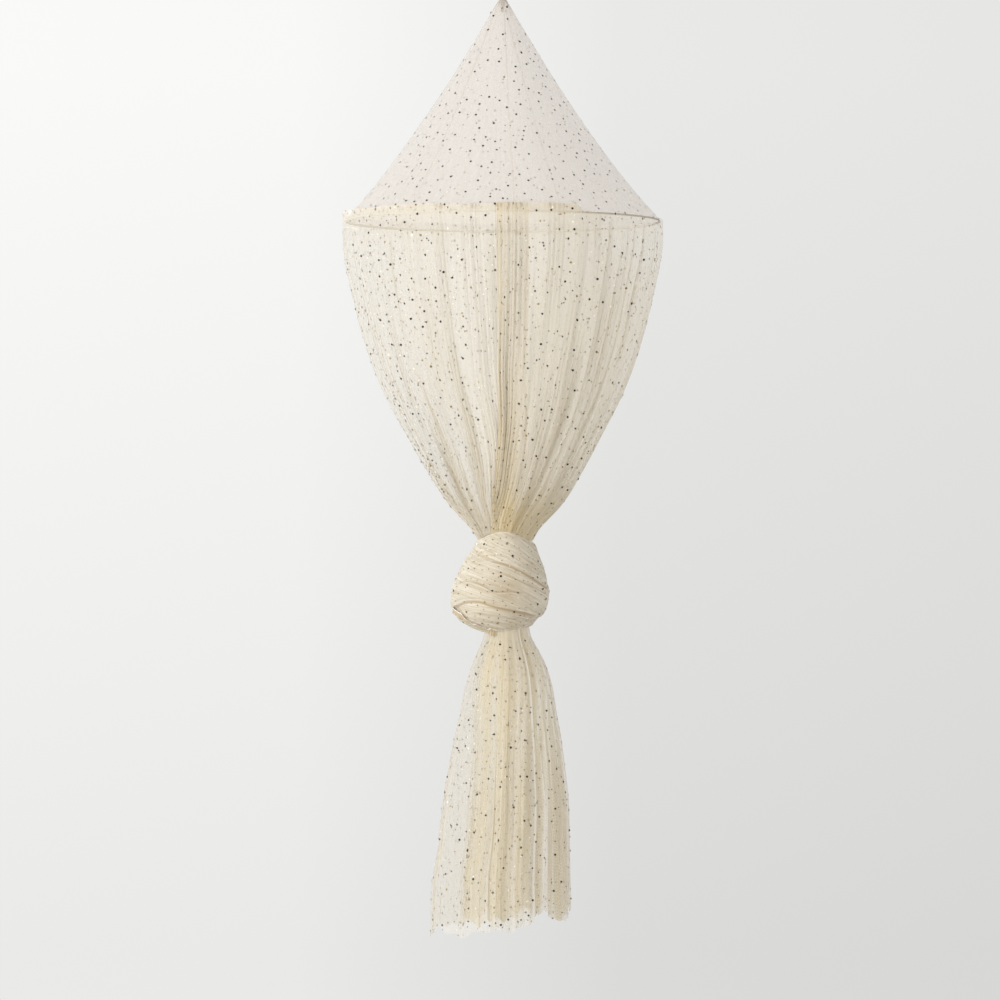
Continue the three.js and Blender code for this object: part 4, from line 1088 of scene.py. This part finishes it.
def dots(name, grid, kinds, seed, lift, crowd):
    """Six-sided dots on cloth. Kinds are (dots per square metre, least, greatest, dark share, gold share)."""
    rng = np.random.default_rng(seed)
    points, colours = [], []
    for per_metre, least, greatest, dark, gold in kinds:
        at, x, y = scatter(grid, per_metre, crowd, rng)
        normal = np.cross(y, x)
        normal /= np.linalg.norm(normal, axis=1, keepdims=True)
        normal *= np.sign((normal[:, :2] * at[:, :2]).sum(1) + 1e-12)[:, None]
        x = x / np.linalg.norm(x, axis=1, keepdims=True)
        y = np.cross(normal, x)
        angle = rng.uniform(0, tau, len(at))[:, None] + np.arange(6) * tau / 6
        radius = rng.uniform(least, greatest, len(at))[:, None, None] / 2
        points.append((at + normal * lift)[:, None] + radius * (np.cos(angle)[..., None] * x[:, None]
                                                               + np.sin(angle)[..., None] * y[:, None]))
        # Dots that are neither dark nor gold get the bright foil, a painted glint.
        draw = rng.uniform(0, 1, len(at))
        colours += np.where(draw < dark, 0, np.where(draw < dark + gold, 1, 2)).tolist()
    points = np.concatenate(points).reshape(-1, 3)
    piece = mesh_object(name, points, np.arange(len(points)).reshape(-1, 6).tolist())
    for material in (DARK_FOIL, GOLD_FOIL, BRIGHT_FOIL):
        piece.data.materials.append(material)
    piece.data.polygons.foreach_set("material_index", colours)
    piece.data.update()
    return piece


CONE_DOTS = [(900, 3.9 * MM, 4.7 * MM, 0.97, 0.02), (1100, 2.0 * MM, 2.9 * MM, 0.50, 0.34)]
CLOTH_DOTS = [(500, 4.0 * MM, 5.0 * MM, 0.80, 0.12), (430, 3.0 * MM, 3.7 * MM, 0.5, 0.38),
              (2100, 1.9 * MM, 2.9 * MM, 0.12, 0.66)]
KNOT_DOTS = [(700, 3.8 * MM, 4.8 * MM, 0.7, 0.2), (5000, 1.7 * MM, 2.6 * MM, 0.25, 0.55)]
TAIL_DOTS = [(520, 3.9 * MM, 4.8 * MM, 0.88, 0.10), (700, 2.8 * MM, 3.5 * MM, 0.6, 0.34),
             (2600, 1.8 * MM, 2.6 * MM, 0.30, 0.56)]
INNER_DOTS = [(260, 3.9 * MM, 4.8 * MM, 0.88, 0.10), (1600, 1.8 * MM, 2.8 * MM, 0.30, 0.56)]
CLOTH_LIFT, KNOT_LIFT = 0.5 * MM, 0.8 * MM
for name, grid, kinds, seed, lift, crowd, body, slot in (
        ("glitter_cone_right", right_points[1:, :-3], CONE_DOTS, 201, CLOTH_LIFT, 1, "canopy", "cone_tulle"),
        ("glitter_cone_back", back_points[1:, :-3], CONE_DOTS, 202, CLOTH_LIFT, 1, "canopy", "cone_tulle"),
        ("glitter_cone_left", left_points[1:, :-3], CONE_DOTS, 203, CLOTH_LIFT, 1, "canopy", "cone_tulle"),
        ("glitter_curtain_left", left_curtain, CLOTH_DOTS, 211, CLOTH_LIFT, 2.2, "canopy", "curtain_tulle"),
        ("glitter_curtain_right", right_curtain, CLOTH_DOTS, 212, CLOTH_LIFT, 2.2, "canopy", "curtain_tulle"),
        ("glitter_knot_top", top_points[:-20], KNOT_DOTS, 221, KNOT_LIFT, 1, "canopy", "knot_tulle"),
        ("glitter_knot_middle", middle_points[6:-6], KNOT_DOTS, 222, KNOT_LIFT, 1, "canopy", "knot_tulle"),
        ("glitter_knot_bottom", bottom_points[20:], KNOT_DOTS, 223, KNOT_LIFT, 1, "canopy", "knot_tulle"),
        ("glitter_tail_left", tail_left_points[4:], TAIL_DOTS, 231, CLOTH_LIFT, 1, "tail", "tail_tulle"),
        ("glitter_tail_right", tail_right_points[4:], TAIL_DOTS, 232, CLOTH_LIFT, 1, "tail", "tail_tulle"),
        ("glitter_tail_inner", tail_inner_points[4:], INNER_DOTS, 233, CLOTH_LIFT, 1, "tail", "tail_tulle")):
    finish_piece(dots(name, grid, kinds, seed, lift, crowd), body, slot)


# Stage: pale floor, pale background, soft light
FLOOR_Z = -2.35
scene = bpy.context.scene
deselect()
bpy.ops.mesh.primitive_circle_add(vertices=128, radius=2.6, fill_type="NGON", location=(0, 0, FLOOR_Z))
floor = bpy.context.object
floor.name = "floor"
floor_paint, tree, surface = new_material("Pale floor")
fill(tree, surface, Base_Color=(0.66, 0.66, 0.65, 1), Roughness=0.9)
floor.data.materials.append(floor_paint)

# What the camera sees behind is a pale wall with painted light: lighter to the left, painted shade to the
# right by the canopy, and a little darker lower down. What lights the object is an even room.
world = bpy.data.worlds.new("Pale room")
scene.world = world
world.use_nodes = True
tree = world.node_tree
tree.nodes.clear()
direction = add_node(tree, "ShaderNodeTexCoord").outputs["Generated"]
ahead = add_node(tree, "ShaderNodeSeparateXYZ", Vector=direction)
wall = add_node(tree, "ShaderNodeValToRGB", Fac=map_range(tree, ahead.outputs["X"], -0.115, 0.115, 0.0, 1.0))
stops = [(0.0, 0.935), (0.30, 0.925), (0.62, 0.80), (1.0, 0.775)]
while len(wall.color_ramp.elements) < len(stops):
    wall.color_ramp.elements.new(0.5)
for stop, (place, level) in zip(wall.color_ramp.elements, stops):
    stop.position, stop.color = place, (level, level, level * 0.985, 1)
seen = add_node(tree, "ShaderNodeBackground", Color=wall.outputs["Color"],
                Strength=map_range(tree, ahead.outputs["Z"], 0.10, -0.10, 1.02, 0.88))
lit = add_node(tree, "ShaderNodeBackground", Color=(1, 0.99, 0.975, 1), Strength=0.635)
ray = add_node(tree, "ShaderNodeLightPath").outputs
mirrored = math_node(tree, "MAXIMUM", ray["Is Glossy Ray"], ray["Is Transmission Ray"])
choose = add_node(tree, "ShaderNodeMixShader", Fac=math_node(tree, "MAXIMUM", ray["Is Camera Ray"], mirrored))
give(tree, choose.inputs[1], lit.outputs[0])
give(tree, choose.inputs[2], seen.outputs[0])
add_node(tree, "ShaderNodeOutputWorld", Surface=choose.outputs[0])
scene.view_settings.view_transform = "Standard"
scene.cycles.transparent_max_bounces = 40


def soft_lamp(name, place, target, size, power, colour):
    lamp = bpy.data.lights.new(name, "AREA")
    lamp.shape, lamp.size, lamp.energy, lamp.color = "DISK", size, power, colour
    holder = bpy.data.objects.new(name, lamp)
    scene.collection.objects.link(holder)
    holder.location = place
    holder.rotation_euler = (Vector(target) - Vector(place)).to_track_quat("-Z", "Y").to_euler()


soft_lamp("window_left", (-3.6, -2.8, -0.4), (0, 0, -1.0), 2.2, 115, (1, 0.995, 0.98))
soft_lamp("fill_front", (1.6, -5.0, -1.5), (0, 0, -1.1), 2.5, 50, (1, 0.97, 0.92))
soft_lamp("back_left", (-2.6, 2.6, 0.2), (0, 0, -0.9), 1.8, 35, (1, 1, 1))

# Camera: square to the wall, level with the middle of the hanging, at the photo's distance
VIEW_DISTANCE, VIEW_TILT, LENS = 8.3, radians(90.118), 156.85
camera_data = bpy.data.cameras.new("Camera")
camera = bpy.data.objects.new("Camera", camera_data)
scene.collection.objects.link(camera)
camera_data.sensor_width, camera_data.lens = 36, LENS
camera_data.clip_end = 60
camera.location = (-4.8 * MM, -VIEW_DISTANCE, -1048.5 * MM)
camera.rotation_euler = (VIEW_TILT, 0, 0)
scene.camera = camera
